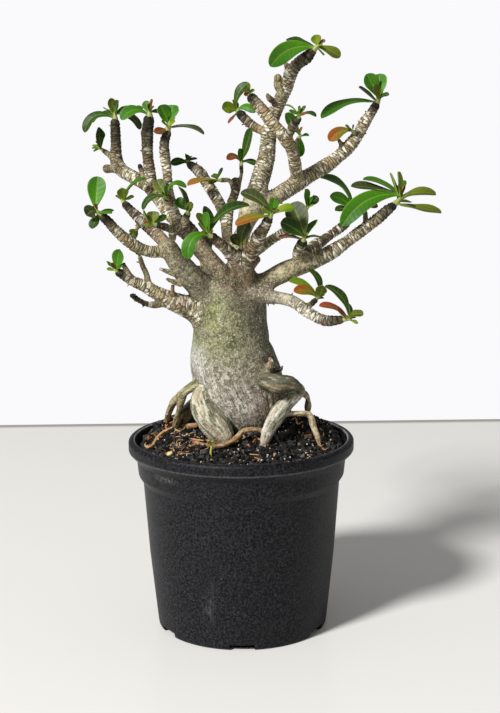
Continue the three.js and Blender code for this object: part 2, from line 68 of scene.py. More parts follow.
# The faces of a closed skin: the quads of a grid of rows by columns whose columns close on
# themselves, and a fan at each end round the two points that follow the grid's own.
def skinFaces(rows, cols, flip=False):
    spin, last = np.arange(cols), (rows - 1) * cols
    turned = (spin + 1) % cols
    row = np.arange(rows - 1)[:, None] * cols
    quads = np.stack([row + spin, row + turned, row + cols + turned, row + cols + spin], -1)
    quads = quads.reshape(-1, 4)
    fans = np.vstack([np.stack([np.full(cols, rows * cols), turned, spin], 1),
                      np.stack([np.full(cols, rows * cols + 1), last + spin, last + turned], 1)])
    return (quads[:, ::-1], fans[:, [0, 2, 1]]) if flip else (quads, fans)


# Puts points and faces into a mesh object. Marks are values or vectors kept for each point.
def addPiece(name, points, quads=(), tris=(), marks=None, smooth=True):
    points = np.asarray(points, float)
    quads = np.asarray(quads, int).reshape(-1, 4)
    tris = np.asarray(tris, int).reshape(-1, 3)
    corners = np.concatenate([quads.ravel(), tris.ravel()]).astype(np.int32)
    starts = np.concatenate([np.arange(len(quads)) * 4, len(quads) * 4 + np.arange(len(tris)) * 3])
    mesh = bpy.data.meshes.new(name)
    mesh.vertices.add(len(points))
    mesh.vertices.foreach_set("co", (points * mm).astype(np.float32).ravel())
    mesh.loops.add(len(corners))
    mesh.loops.foreach_set("vertex_index", corners)
    mesh.polygons.add(len(starts))
    mesh.polygons.foreach_set("loop_start", starts.astype(np.int32))
    mesh.update(calc_edges=True)
    mesh.validate()
    mesh.polygons.foreach_set("use_smooth", np.full(len(mesh.polygons), smooth))
    for mark, values in (marks or {}).items():
        values = np.asarray(values, np.float32)
        kind, key = ("FLOAT", "value") if values.ndim == 1 else ("FLOAT_VECTOR", "vector")
        mesh.attributes.new(mark, kind, "POINT").data.foreach_set(key, values.ravel())
    piece = bpy.data.objects.new(name, mesh)
    scene.collection.objects.link(piece)
    return piece


# Hands a piece to the model: its finish, its body, and the CAD solids it stands for.
def settle(piece, finish, slot, *solids):
    piece.data.materials.append(finish)
    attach(piece, "root")
    if solids:
        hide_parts(*solids)
    print("made", piece.name, len(piece.data.polygons), "faces")


# Joins shapes given as (points, quads, tris, marks) into one such shape.
def gather(shapes):
    points, quads, tris, marks, offset = [], [], [], {}, 0
    for p, q, t, m in shapes:
        points.append(p)
        quads.append(q + offset)
        tris.append(t + offset)
        for key, values in m.items():
            marks.setdefault(key, []).append(values)
        offset += len(p)
    marks = {key: np.concatenate(values) for key, values in marks.items()}
    return np.concatenate(points), np.concatenate(quads), np.concatenate(tris), marks


# A smooth course through stations of x, y, z and radius: a Hermite curve whose slopes are those of
# a centripetal Catmull-Rom spline, sampled about every `spacing`, with the radius straight between.
def courseOf(stations, spacing):
    stations = np.asarray(stations, float)
    spots = stations[:, :3]
    ends = np.vstack([2 * spots[0] - spots[1], spots, 2 * spots[-1] - spots[-2]])
    span = np.sqrt(np.linalg.norm(np.diff(ends, axis=0), axis=1))[:, None]
    a, b, c = span[:-2], span[1:-1], span[2:]
    x0, x1, x2, x3 = ends[:-3], ends[1:-2], ends[2:-1], ends[3:]
    m1 = ((x1 - x0) / a - (x2 - x0) / (a + b) + (x2 - x1) / b) * b
    m2 = ((x2 - x1) / b - (x3 - x1) / (b + c) + (x3 - x2) / c) * b
    places, radii = [], []
    for i in range(len(spots) - 1):
        count = max(1, math.ceil(np.linalg.norm(x2[i] - x1[i]) / spacing))
        t = np.arange(count)[:, None] / count
        places.append((2 * t**3 - 3 * t**2 + 1) * x1[i] + (t**3 - 2 * t**2 + t) * m1[i]
                      + (3 * t**2 - 2 * t**3) * x2[i] + (t**3 - t**2) * m2[i])
        radii.append(stations[i, 3] + t[:, 0] * (stations[i + 1, 3] - stations[i, 3]))
    return np.vstack(places + [spots[-1:]]), np.append(np.concatenate(radii), stations[-1, 3])


# Two directions square to each point of a course, turned as little as possible along it.
def framesOf(places):
    tangents = np.gradient(places, axis=0)
    tangents /= np.linalg.norm(tangents, axis=1)[:, None]
    side = np.array([0.0, 1, 0] if abs(tangents[0, 0]) > 0.9 else [1.0, 0, 0])
    sides = np.empty_like(places)
    for i, tangent in enumerate(tangents):
        side = side - side @ tangent * tangent
        side /= np.linalg.norm(side)
        sides[i] = side
    return sides, np.cross(tangents, sides)


# A round tube of one tone along a course, closed at both ends by a fan.
def tube(stations, spacing, around, tone):
    places, radii = courseOf(stations, spacing)
    sides, deeps = framesOf(places)
    turn = (np.arange(around) / around * 2 * np.pi)[:, None]
    ring = places[:, None] + radii[:, None, None] * (np.cos(turn) * sides[:, None]
                                                     + np.sin(turn) * deeps[:, None])
    points = np.vstack([ring.reshape(-1, 3), places[:1], places[-1:]])
    marks = {"tint": np.tile(paint(tone), (len(points), 1))}
    return points, *skinFaces(len(places), around), marks


# Helpers for finishes.

# A socket that takes part in sums: each operator adds its Math node.
class Sock:
    def __init__(self, finish, socket):
        self.finish, self.socket = finish, socket

    def math(self, operation, *values):
        return self.finish.node("Math", {"operation": operation}, dict(enumerate(values)))

    def __add__(self, other):
        return self.math("ADD", self, other)

    def __sub__(self, other):
        return self.math("SUBTRACT", self, other)

    def __rsub__(self, other):
        return self.math("SUBTRACT", other, self)

    def __mul__(self, other):
        return self.math("MULTIPLY", self, other)

    def __pow__(self, other):
        return self.math("POWER", self, other)

    __radd__, __rmul__ = __add__, __mul__

    def absolute(self):
        return self.math("ABSOLUTE", self)

    def sine(self):
        return self.math("SINE", self)

    # 0 at `low`, 1 at `high`, which may be the smaller of the two, and a smooth step between.
    def step(self, low, high):
        return self.finish.node("MapRange", {"interpolation_type": "SMOOTHSTEP"},
                                {"Value": self, "From Min": low, "From Max": high})

    # 1 where the value is within `near` of `middle`, and 0 from `far` on.
    def close(self, middle, far, near):
        return (self - middle).absolute().step(far, near)


# A finish: one Principled shader, with constants set on its own sockets. Colours are web codes.
class Finish:
    def __init__(self, name, **constants):
        self.material = bpy.data.materials.new(name)
        self.material.use_nodes = True
        self.nodes = self.material.node_tree.nodes
        self.set(**constants)

    def set(self, **values):
        for key, value in values.items():
            self.feed(self.nodes["Principled BSDF"].inputs[key.replace("_", " ")], value)
        return self.material

    def feed(self, socket, value):
        if isinstance(value, Sock):
            self.material.node_tree.links.new(value.socket, socket)
        else:
            socket.default_value = (*paint(value), 1) if socket.type == "RGBA" else value

    # One node: its settings first, then the values or links of its sockets, then the output wanted.
    def node(self, kind, settings, values, output=0):
        made = self.nodes.new("ShaderNode" + kind)
        for key, value in settings.items():
            setattr(made, key, value)
        for key, value in values.items():
            self.feed(made.inputs[key], value)
        return Sock(self, made.outputs[output])

    def mark(self, name, output="Fac"):
        return self.node("Attribute", {"attribute_name": name}, {}, output)

    # Object coordinates, or a marked vector, in millimetres and stretched along each axis.
    def spots(self, stretch=(1, 1, 1), of=None):
        source = of or self.node("TexCoord", {}, {}, "Object")
        scale = 1 if of else 1 / mm
        return self.node("VectorMath", {"operation": "MULTIPLY"},
                         {0: source, 1: tuple(scale * s for s in stretch)})

    def axes(self, spots, names):
        return [self.node("SeparateXYZ", {}, {0: spots}, name) for name in names]

    # Cloudy noise from 0 to 1 whose blobs are about `size` millimetres.
    def noise(self, spots, size, detail=2.0, rough=0.5):
        return self.node("TexNoise", {}, {"Vector": spots, "Scale": 1 / size, "Detail": detail,
                                          "Roughness": rough})

    # Distance from the edges between cells about `size` millimetres wide, as a share of that size.
    def cells(self, spots, size):
        return self.node("TexVoronoi", {"feature": "DISTANCE_TO_EDGE"},
                         {"Vector": spots, "Scale": 1 / size}, "Distance")

    # A number from 0 to 1 for each of the same cells.
    def cellTone(self, spots, size):
        colour = self.node("TexVoronoi", {}, {"Vector": spots, "Scale": 1 / size}, "Color")
        return self.axes(colour, "X")[0]

    def mix(self, share, first, second):
        return self.node("Mix", {"data_type": "RGBA"}, {0: share, 6: first, 7: second}, 2)

    # Lays tones over a colour one after another, each through its own mask.
    def layer(self, colour, *layers):
        for mask, tone in layers:
            colour = self.mix(mask, colour, tone)
        return colour

    # Raises the surface by `height` times `rise` millimetres.
    def bump(self, height, rise, strength):
        return self.node("Bump", {}, {"Height": height, "Distance": rise * mm,
                                      "Strength": strength})


# Camera, floor and light.

view = {
    "place": (4.62, -714.8, 277.7), "pitch": 11.352, "roll": 0.4025,
    "lens": 76.02, "sensor": 36, "clip": (0.02, 30),  # the clip range is in metres
    "floorBack": ((-186.6, 408), (196.4, 416)),  # the table's far edge, left and right
    # The edge tone is painted shade: a grey band along the table's far edge.
    "floorHalf": 3000, "floor": "#ebe9e4", "edge": "#a09e95", "edgeShadeWide": 8, "edgeShadeSoft": 4,
    "keyFrom": (-0.66, -0.75, 0.78), "keyAway": 5000, "keyAim": 120, "keySize": 900,
    "keyPower": 346, "wall": "#faf9fb", "fill": 0.285,
}


# The matrix of a camera or lamp: its place, its right, its up, and the way back from what it faces.
def standAt(place, right, up, back):
    turn = Matrix(np.stack([right, up, back], 1).tolist()).to_4x4()
    return Matrix.Translation([float(c) * mm for c in place]) @ turn


def makeStage():
    pitch, roll = math.radians(view["pitch"]), math.radians(view["roll"])
    back = np.array([0, -math.cos(pitch), math.sin(pitch)])
    over = np.array([0, math.sin(pitch), math.cos(pitch)])
    level = np.array([1.0, 0, 0])
    eye = bpy.data.objects.new("photoCamera", bpy.data.cameras.new("photoCamera"))
    eye.matrix_world = standAt(view["place"], math.cos(roll) * level - math.sin(roll) * over,
                               math.sin(roll) * level + math.cos(roll) * over, back)
    eye.data.sensor_fit = "VERTICAL"
    eye.data.sensor_height = eye.data.sensor_width = view["sensor"]
    eye.data.lens = view["lens"]
    eye.data.clip_start, eye.data.clip_end = view["clip"]
    scene.collection.objects.link(eye)
    scene.camera = eye

    (x0, y0), (x1, y1) = view["floorBack"]
    slope, half = (y1 - y0) / (x1 - x0), view["floorHalf"]
    corners = [(-half, -half, 0), (half, -half, 0), (half, y0 + slope * (half - x0), 0),
               (-half, y0 + slope * (-half - x0), 0)]
    floor = addPiece("floor", corners, [[0, 1, 2, 3]])
    pale = Finish("paleTable", Specular_IOR_Level=0.35, Roughness=0.32)
    x, y = pale.axes(pale.spots(), "XY")
    # Painted shade: a grey band along the table's far edge, as wide and as soft as given.
    edge = (y - x * slope) - (y0 - slope * x0 - view["edgeShadeWide"])
    edge = edge.step(-view["edgeShadeSoft"], view["edgeShadeSoft"])
    floor.data.materials.append(pale.set(Base_Color=pale.mix(edge, view["floor"], view["edge"])))

    key = bpy.data.lights.new("softKey", "AREA")
    key.shape, key.size, key.energy = "DISK", view["keySize"] * mm, view["keyPower"]
    lamp = bpy.data.objects.new("softKey", key)
    away = unit(np.array(view["keyFrom"]))
    across = unit(np.cross([0, 0, 1], away))
    lamp.matrix_world = standAt(away * view["keyAway"] + np.array([0, 0, view["keyAim"]]),
                                across, np.cross(away, across), away)
    scene.collection.objects.link(lamp)

    # The studio: a bright wall behind the table, and a softer light from all round.
    world = bpy.data.worlds.new("studio")
    world.use_nodes = True
    tree = world.node_tree
    tree.nodes.clear()
    wall, fill, both, seen, out = (tree.nodes.new("ShaderNode" + kind) for kind in (
        "Background", "Background", "MixShader", "LightPath", "OutputWorld"))
    wall.inputs["Color"].default_value = (*paint(view["wall"]), 1)
    fill.inputs["Color"].default_value = (1, 1, 1, 1)
    fill.inputs["Strength"].default_value = view["fill"]
    for source, target in ((seen.outputs["Is Camera Ray"], both.inputs[0]),
                           (fill.outputs[0], both.inputs[1]), (wall.outputs[0], both.inputs[2]),
                           (both.outputs[0], out.inputs[0])):
        tree.links.new(source, target)
    scene.world = world
    scene.view_settings.view_transform = "Standard"
    print("camera, floor and light are set")


makeStage()


# The wood: trunk, roots and limbs as one grown surface.

wood = {
    "cell": 0.735,         # spacing of the grid that the surface is drawn through
    "step": 2.0, "trunkStep": 3.0,  # spacing of the points along a course
    "pad": 7.0,            # how far from its surface a course is still felt
    "far": 50.0,           # the distance where no course is near
    "margin": 3,           # room in the grid round the wood
    "trunkDepth": 0.86,    # the trunk's depth over its width
    "rootWeb": 1.0,        # how far apart two surfaces begin to melt together, at a root
    "webPerRadius": 0.9, "webLeast": 1.3, "webMost": 4.2,  # the same at a limb
    "limbLane": (1, 0.34), "rootLane": (0.28, 1.0),  # scale of the bark's pattern, along and round
    "laneApart": 37,       # keeps the patterns of two courses apart
    "scalyOver": 9, "scalyLeast": 0.04,  # length of the change from smooth bark to plates
    "youngEnd": 11,        # length of dark young bark behind a limb's tip
    "lumpSize": 5.5, "lumps": 0.42, "trunkLumps": 0.6,  # low lumps, and their height
    "foldSize": 0.66, "foldLong": 0.3, "foldRise": 0.2, "foldLeast": 0.15, "rootFolds": 0.5,
    "foldTop": (142, 20),  # where the trunk's folds have faded out, and over what height
    "scarArea": 3.6,       # square millimetres of bark for each leaf scar
    "scarStray": 0.35,     # how far a scar strays from its place in the spiral
    "scarShape": (0.85, 1.15), "scarReach": 1.25, "scarRise": 0.4,  # its stretch, radius, height
    "dimple": 0.55, "dimpleReach": 0.42,  # depth over the scar's height, and radius
    "ringGap": 1.9, "ringRise": 0.14, "ringBend": 1.4, "ringWave": 2,
    "settle": 2, "settleShare": 0.8,  # steps towards the true surface, and the share of each
    "stubs": 230, "stubLong": (0.5, 1.5), "stubWide": (0.35, 0.6), "stubSunk": 0.5,
    "stubLean": (0.1, 0.9), "stubTip": 0.08, "stubFree": 9,  # length without stubs at the foot
    "stubMost": 4.4,       # the thickest limb that still has stubs
    "stubTones": ("#3a2c1c", "#5b4630", "#8a7850", "#2a2014", "#7a5236"),
}

# The trunk from its buried foot to the crotch of the limbs: x, y, z, radius across.
trunkLine = {
    "trunk": [(4, 3, 90, 5), (4, 3, 96, 7), (4, 3, 101, 10.5), (4, 3, 106, 14.5), (3, 3, 111, 17.5),
        (2, 3, 116, 20), (-1, 3, 122, 21.5), (-3.6, 3, 130, 20.9), (-4.9, 3, 137, 18.6),
        (-4.5, 3, 143, 18.6), (-4.8, 2, 150, 17.7), (-4, 2, 157, 16.5), (-3, 1, 163, 15.5),
        (-2, 0, 168, 12), (-1, -1, 172, 7)],
}

# Roots, each from the trunk or from another root, most of them down to the soil.
rootLines = {
    "leftAerial": [(-17, -3, 123, 3), (-21, -5, 122, 2.4), (-24, -6, 120.5, 2.2),
        (-27, -5, 118, 2.2), (-29, -3, 115, 2.2)],
    "leftFootOut": [(-29, -3, 116, 2), (-32.5, 1, 112, 1.7), (-35.5, 10, 104.5, 1.6),
        (-37, 18, 98, 1.4), (-38, 22, 93, 1)],
    "leftFootIn": [(-28.5, -4, 115, 2), (-29.5, -1, 110.5, 1.7), (-31, 4, 104, 1.6),
        (-32.5, 9, 97, 1.4), (-33, 11, 92, 1)],
    "leftBack": [(-16, 1, 114, 4.5), (-23, 6, 108, 4), (-28, 12, 101, 3.5), (-31, 17, 93, 2)],
    "frontFoot": [(-18, -7, 120, 3), (-19.5, -8.5, 115, 4.8), (-17.8, -10, 110, 6),
        (-14.5, -11, 105, 6.6), (-11, -12, 101, 6.4), (-8, -12.5, 96.5, 5), (-7, -12, 90, 2)],
    "rightShelf": [(9, -12, 124.5, 2), (13, -13.5, 124.5, 4.2), (18, -14.5, 123.5, 4.8),
        (23, -13, 123, 4.3), (27, -10, 120, 3.3)],
    "rightFoot": [(28, -9, 119, 3), (24, -10, 115, 3.5), (19, -12, 110, 4), (15, -14, 104, 3.5),
        (13, -15, 100, 3), (11, -15, 94, 2), (10, -15, 89, 1.5)],
    "rightClaw": [(28, -9, 119, 2), (32, -3, 115, 1.5), (33, 5, 109, 1.5), (33, 14, 103, 1.5),
        (33, 16, 97, 1)],
    "rightReach": [(20, -11, 109, 2), (24, -10, 108, 1.5), (29, -10, 108, 1.5), (33, -9, 107, 1.5),
        (35, -9, 101, 1.5), (37, -10, 96, 1.5), (38, -11, 92, 1), (39, -11, 87, 1)],
    "frontFeeder": [(12, -13, 100, 1.3), (6, -14, 101.5, 1.3), (1, -14, 100.5, 1.3),
        (-2, -17, 98, 1.2), (-7, -19.5, 95.5, 1.1), (-13, -19, 94.5, 1), (-21, -11, 94, 1),
        (-26, 0, 93, 1)],
    "backLeft": [(-8, 14, 118, 5), (-15, 22, 110, 4), (-20, 29, 103, 3), (-24, 34, 97, 2),
        (-26, 37, 90, 1.5)],
    "backRight": [(8, 14, 116, 5), (12, 22, 110, 4.5), (14, 30, 104, 3.5), (17, 36, 97, 2),
        (18, 39, 90, 1.5)],
    "leftFeeder": [(-22, 4, 99, 1.5), (-29, 10, 97, 1.2), (-35, 11, 95.5, 1), (-40, 12, 94.5, 1),
        (-44, 9, 93, 1), (-46.5, 6, 92, 1)],
}

# Limbs, each from inside what it grows from to its tip.
limbLines = {
    "lowLeft": [(-13, -1, 151, 6.5), (-18.5, -2.5, 155, 5.8), (-24, -4.5, 158.8, 5),
        (-33, -9, 163.6, 4), (-40, -11, 167.7, 2.9), (-45, -13, 171, 2.4), (-51, -15, 174, 2.1),
        (-56, -17.5, 178, 1.7)],
    "lowLeftShoot": [(-43, -12, 170, 1.8), (-44, -10, 176, 1.4), (-46, -8, 180, 1.3),
        (-47, -6, 183, 1.1)],
    "lowLeftTwig": [(-35, -10, 163, 2), (-40, -13, 162, 1.6), (-44, -16, 163, 1.2),
        (-48, -20, 166, 1), (-50, -22, 168, 0.8)],
    "lowLeftStub": [(-51, -15, 175, 1.5), (-54, -19, 182, 1)],
    "left": [(-10, -2, 164, 6), (-16, -4, 168, 6.1), (-21, -7, 172.2, 6), (-26, -10, 178, 5.7),
        (-30, -12, 184, 4.9), (-33, -14, 189, 3.9)],
    "leftLow": [(-32, -14, 188, 3), (-42, -17, 188, 2.4), (-48, -20, 191, 2.3),
        (-55, -24, 197, 2.3), (-60, -26, 203, 2), (-62.4, -27.5, 205.5, 1.8)],
    "leftHigh": [(-33, -12, 188, 3), (-37, -8, 193, 3), (-42, -4, 197, 2.5), (-47, 0, 201, 2.5),
        (-52, 3, 205.5, 2), (-54, 4.5, 207.6, 1.8)],
    "leftHighTwig": [(-47, 0, 200, 1.5), (-48, -2, 198, 1)],
    "leftFront": [(-32, -14, 190, 2), (-31, -21, 194, 1.5), (-31, -27, 199, 1.5),
        (-34, -31, 201, 1.5), (-37, -33, 202, 1)],
    "fork": [(-2, -6, 166, 5.5), (-8, -11, 176, 4.1), (-13, -12, 182, 4), (-19, -11, 189, 4),
        (-23, -10, 195, 4), (-27, -8, 199, 4)],
    "forkUp": [(-27, -8, 198, 3), (-30, -10, 204, 2.5), (-32, -12, 210, 2.5), (-33, -14, 215, 2.5),
        (-33, -15, 222, 2), (-34, -15, 232, 2), (-34, -15, 238, 2), (-33, -15, 242, 2)],
    "forkSpurA": [(-33, -13, 211, 1.5), (-33, -20, 213, 1.5)],
    "forkSpurB": [(-26, -10, 200, 2), (-24, -15, 205, 1.5)],
    "back": [(-27, -6, 198, 3.5), (-33, 2, 204, 3.5), (-38, 10, 209, 3), (-43, 15, 215, 3),
        (-51, 22, 219, 3), (-58, 31, 222, 3), (-61, 35, 227, 3), (-61, 36, 234, 2.5),
        (-61, 36, 245, 2)],
    "backMid": [(-42, 15, 214, 2.5), (-43, 15, 222, 2.5), (-44, 15, 230, 2.5), (-44, 15, 238, 2.5),
        (-43, 15, 247, 2.5)],
    "backStub": [(-59, 31, 223, 2), (-65, 30, 223, 2)],
    "backTwig": [(-61, 36, 227, 1.5), (-67, 38, 231, 1)],
    "backSnag": [(-45, 16, 217, 1.5), (-48, 17, 225, 1)],
    "backNub": [(-44, 15, 240, 1.5), (-46, 15, 241, 1)],
    "hidden": [(-8, 3, 160, 5.5), (-12, 9, 169, 4.8), (-15.5, 18, 176, 3.7), (-17, 28, 182, 2.8),
        (-16, 34, 187, 2.5)],
    "hiddenSnag": [(-15, 17, 174, 1.5), (-23, 14, 176, 1)],
    "centreLeft": [(3, -8, 169, 4), (1, -16, 178, 3.5), (-2, -21, 185, 3), (-6, -26, 190, 2.5),
        (-12, -31, 196, 2)],
    "centreFront": [(3, -9, 169, 4), (2.5, -17, 180, 3.5), (5.5, -22, 188, 3.1), (9, -26, 195.5, 3),
        (11.7, -29, 200.5, 2.5), (13.4, -31, 204, 2)],
    "centreStub": [(3, -12, 177, 2.5), (8, -11, 183, 1.5)],
    "centreSpur": [(1, -16, 181, 2), (0.9, -20, 188.7, 1.4)],
    "right": [(4, -4, 184, 3), (11, -6, 189, 2.5), (17, -8, 193, 2), (23, -9, 197, 2),
        (27, -9, 202, 2), (30, -9, 205, 1.5)],
    "inner": [(-4, 2, 186, 3), (-6, 7, 193, 2.5), (-6, 12, 201, 2.5), (-4, 15, 207, 2),
        (-2, 17, 212, 2), (-2, 19, 217, 2)],
    "innerRight": [(-1, 18, 214, 1.5), (1, 20, 220, 1), (1, 21, 224, 1)],
    "innerLeft": [(-3, 18, 215, 1), (-5, 17, 218, 1), (-8, 17, 218, 1)],
    "innerBack": [(-7, 12, 200, 2.5), (-10, 19.5, 207, 2.5), (-15, 28, 214, 2.5),
        (-20, 33, 221, 2.5), (-24, 36, 224, 2)],
    "innerSnag": [(-17, 29, 216, 1.5), (-17, 30, 221, 1)],
    "main": [(1, -3, 168, 6.5), (1, -4, 178, 5), (-1, -1, 186, 4.5), (2, 3, 195, 3.5),
        (4.3, 6, 202, 4.9), (7.3, 10, 210, 4.9), (9.8, 13, 218, 4.4), (13, 16, 228, 4),
        (14, 18, 237, 3.5), (17, 18, 249, 3), (20, 17, 256, 3), (23, 15, 262, 3), (25, 12, 269, 3),
        (28, 10, 273, 2.5), (32, 8, 276, 2.5), (35, 6, 279, 2)],
    "mainStub": [(25, 13, 268, 1.5), (22, 12, 274, 1)],
    "mainSnag": [(21, 16, 260, 1), (18, 15, 264, 1)],
    "mainSide": [(15, 19, 240, 2), (8, 22, 243, 2), (4, 24, 246, 2), (1, 26, 249, 2)],
    "crossing": [(5, 5, 203, 3.5), (12, 11, 207, 4), (21, 17, 211.8, 3.9), (29, 21, 216.6, 3.8),
        (39.3, 25, 222.2, 3.5), (47.4, 28, 227.2, 3.1), (53.4, 29.3, 232.4, 2.9),
        (58.4, 30, 238.8, 2.8), (62, 30, 245, 2.5), (65, 30, 249.5, 2), (66.6, 30, 252.4, 2)],
    "crossingStub": [(52, 29, 231, 1.5), (49, 28, 236, 1)],
    "crossingSpur": [(58, 30, 238, 1.5), (56, 27, 240, 1)],
    "inward": [(29, 20, 217, 3.2), (27.4, 15.5, 222.7, 2.9), (26.5, 12, 227.7, 2.7),
        (24.9, 8, 233.9, 2.7), (21.3, 4.5, 239.6, 2.8), (16.6, 3, 244.8, 2.8), (12, 3.5, 251, 2.7),
        (6.5, 4.5, 257.5, 2.2)],
    "inwardTwig": [(22.5, 5, 237, 2.2), (24.6, -1.5, 242.6, 1.9), (27.4, -7.5, 248, 1.6)],
    "inwardSpur": [(25.3, 9.5, 233.5, 1.5), (28.3, 14, 237.5, 1)],
    "lowRight": [(0, -4, 167, 6), (9, -8, 170, 5), (17, -12, 174.9, 4.8), (24, -13, 178.6, 4.8),
        (31, -12, 181, 4.2), (40.3, -11, 184.5, 3.3), (50.4, -8, 190.5, 2.8), (57.2, -5, 195, 2.6),
        (66, -3, 201.3, 2.5), (70.5, -1.3, 204.8, 2.4), (72.5, -0.4, 206.4, 2)],
    "lowRightUp": [(28, -13, 180, 2.5), (27, -18, 187, 2), (29, -22, 192, 2)],
    "lowRightBack": [(31, -11, 181, 2.5), (32, 4, 184, 2.5), (38, 14, 187, 2.5), (44, 22, 190, 2),
        (52, 28, 195, 2), (55, 31, 199, 2)],
    "lowRightSpur": [(60, -3, 198, 1.5), (60, 2, 203, 1)],
    "underRight": [(5, -8, 168, 4.5), (11, -14, 166.3, 3.7), (19, -20, 166, 3.1),
        (26, -27, 164.8, 2.6), (32, -33, 161, 2.3), (39, -37, 158, 2.1), (46, -40, 159, 1.5)],
    "underRightUp": [(28, -29, 164, 1.5), (32, -25, 163, 1.5), (35, -22, 165, 1)],
}

# Snags and nubs of dead shoots, too small for the solids.
snagLines = {
    "redSnag": [(11.5, -8, 128, 2.1), (13.4, -10.6, 130.6, 2), (14.6, -11.6, 133.2, 1.5),
        (14.2, -11.8, 135.4, 0.7)],
    "darkSnag": [(15.2, -6, 129.2, 1.5), (17.6, -7.2, 129, 1.3), (19.4, -7.6, 129.4, 1.1),
        (20.2, -7.7, 130.8, 0.6)],
    "dryStub": [(21, 14.5, 259, 1.8), (19, 13.4, 263, 1.9), (18.8, 13, 266.6, 1.5)],
    "brownBud": [(17.4, 15, 255, 1.2), (14.8, 12, 257, 1.3), (13.2, 11, 259.6, 0.5)],
    "nubUp": [(-31.6, -10.5, 165, 1.1), (-31.7, -12, 168.4, 0.8), (-31.5, -12.2, 171, 0.6)],
    "nubSide": [(-31, -14, 177, 1.4), (-35, -15.5, 178.6, 0.9), (-37.4, -16, 179.6, 0.5)],
    "nubLow": [(-28, -13, 172, 1.5), (-32, -15, 173.6, 0.9), (-34.6, -15.6, 175, 0.5)],
}

# The lightest tone of the bark of each root and limb, and the length of smooth bark at its foot.
barkLooks = {
    "leftAerial": ("#a19a6a", 0), "leftFootOut": ("#b3a67e", 0), "leftFootIn": ("#a59a68", 0),
    # leftBack's dark tone is painted shade, for the root that lies in shadow behind the front foot.
    "leftBack": ("#4a4030", 0), "frontFoot": ("#c9c4aa", 0), "rightShelf": ("#4a472e", 0),
    "rightFoot": ("#d6d1be", 0), "rightClaw": ("#cfc2a2", 0), "rightReach": ("#d8c59c", 0),
    "frontFeeder": ("#bfa074", 0), "leftFeeder": ("#ab7c4c", 0), "lowLeft": ("#c2b58a", -4),
    "lowLeftShoot": ("#7d7450", 30), "lowLeftTwig": ("#8a7a58", 4), "left": ("#8c866c", 44),
    "leftLow": ("#bfae80", 1), "leftHigh": ("#9d8465", 6), "fork": ("#89755a", 30),
    "forkUp": ("#d2c59c", 0), "back": ("#b3a276", 2), "backMid": ("#a69870", 0),
    "hidden": ("#a9a57f", 26), "centreLeft": ("#8c7658", 16), "centreFront": ("#8f785a", 12),
    "centreStub": ("#8e7552", 4), "centreSpur": ("#8e7552", 4), "main": ("#c0b492", 44),
    "crossing": ("#cbbe96", 16), "inward": ("#c6b389", 3), "inwardTwig": ("#a08a56", 2),
    # lowRightBack's dark tone is painted shade, for the limb that lies in shade behind lowRight.
    "lowRight": ("#b3a681", 36), "underRight": ("#b9b09a", 26), "lowRightBack": ("#6f6046", 2),
    "right": ("#c0b080", 4), "inner": ("#ab9b74", 6), "mainSide": ("#b09a6a", 2),
    "redSnag": ("#83604a", 3), "darkSnag": ("#2a1f16", 3), "dryStub": ("#b4a47c", 0),
    "brownBud": ("#7c4f34", 9), "nubUp": ("#8a7f58", 0), "nubSide": ("#8a7f5c", 0),
    "nubLow": ("#a09068", 0),
}
plainLook = {"trunk": ("#a09b80", 0), "root": ("#b0a994", 0), "limb": ("#b3a57c", 2),
             "snag": ("#6f5540", 2)}
darkTips = {  # length of dark bark behind the tip, where it isn't the usual
    "back": 24, "backMid": 27, "forkUp": 13, "main": 20, "lowRight": 12, "inward": 5, "crossing": 5,
    "centreLeft": 2, "centreFront": 2, "lowRightUp": 1, "centreSpur": 2, "left": 5, "lowLeft": 6,
    "lowLeftStub": 1,
}


def makeCourse(name, stations, kind):
    places, radii = courseOf(stations, wood["trunkStep" if kind == "trunk" else "step"])
    sides, deeps = framesOf(places)
    run = np.concatenate([[0], np.cumsum(np.linalg.norm(np.diff(places, axis=0), axis=1))])
    squash = np.array([1, wood["trunkDepth"] if kind == "trunk" else 1, 1])
    tone, bare = barkLooks.get(name, plainLook[kind])
    return {"places": places, "radii": radii, "sides": sides, "deeps": deeps, "run": run,
            "squash": squash, "kind": kind, "name": name, "tint": np.array(paint(tone)),
            "bare": bare}


# How far two surfaces reach to melt together, from the kind and thickness of the later one.
def webOf(kind, radius):
    if kind in ("root", "trunk"):
        return np.full_like(radius, wood["rootWeb"])
    return np.clip(wood["webPerRadius"] * radius, wood["webLeast"], wood["webMost"])


# Two distances melted into one: the smaller, less a quarter of the web where they are equal. The
# share is how much of the result is the later one's.
def melt(first, second, web):
    near = np.clip(1 - np.abs(first - second) / web, 0, 1)
    share = np.where(second < first, 1 - near / 2, near / 2)
    return np.minimum(first, second) - near**2 * web / 4, share


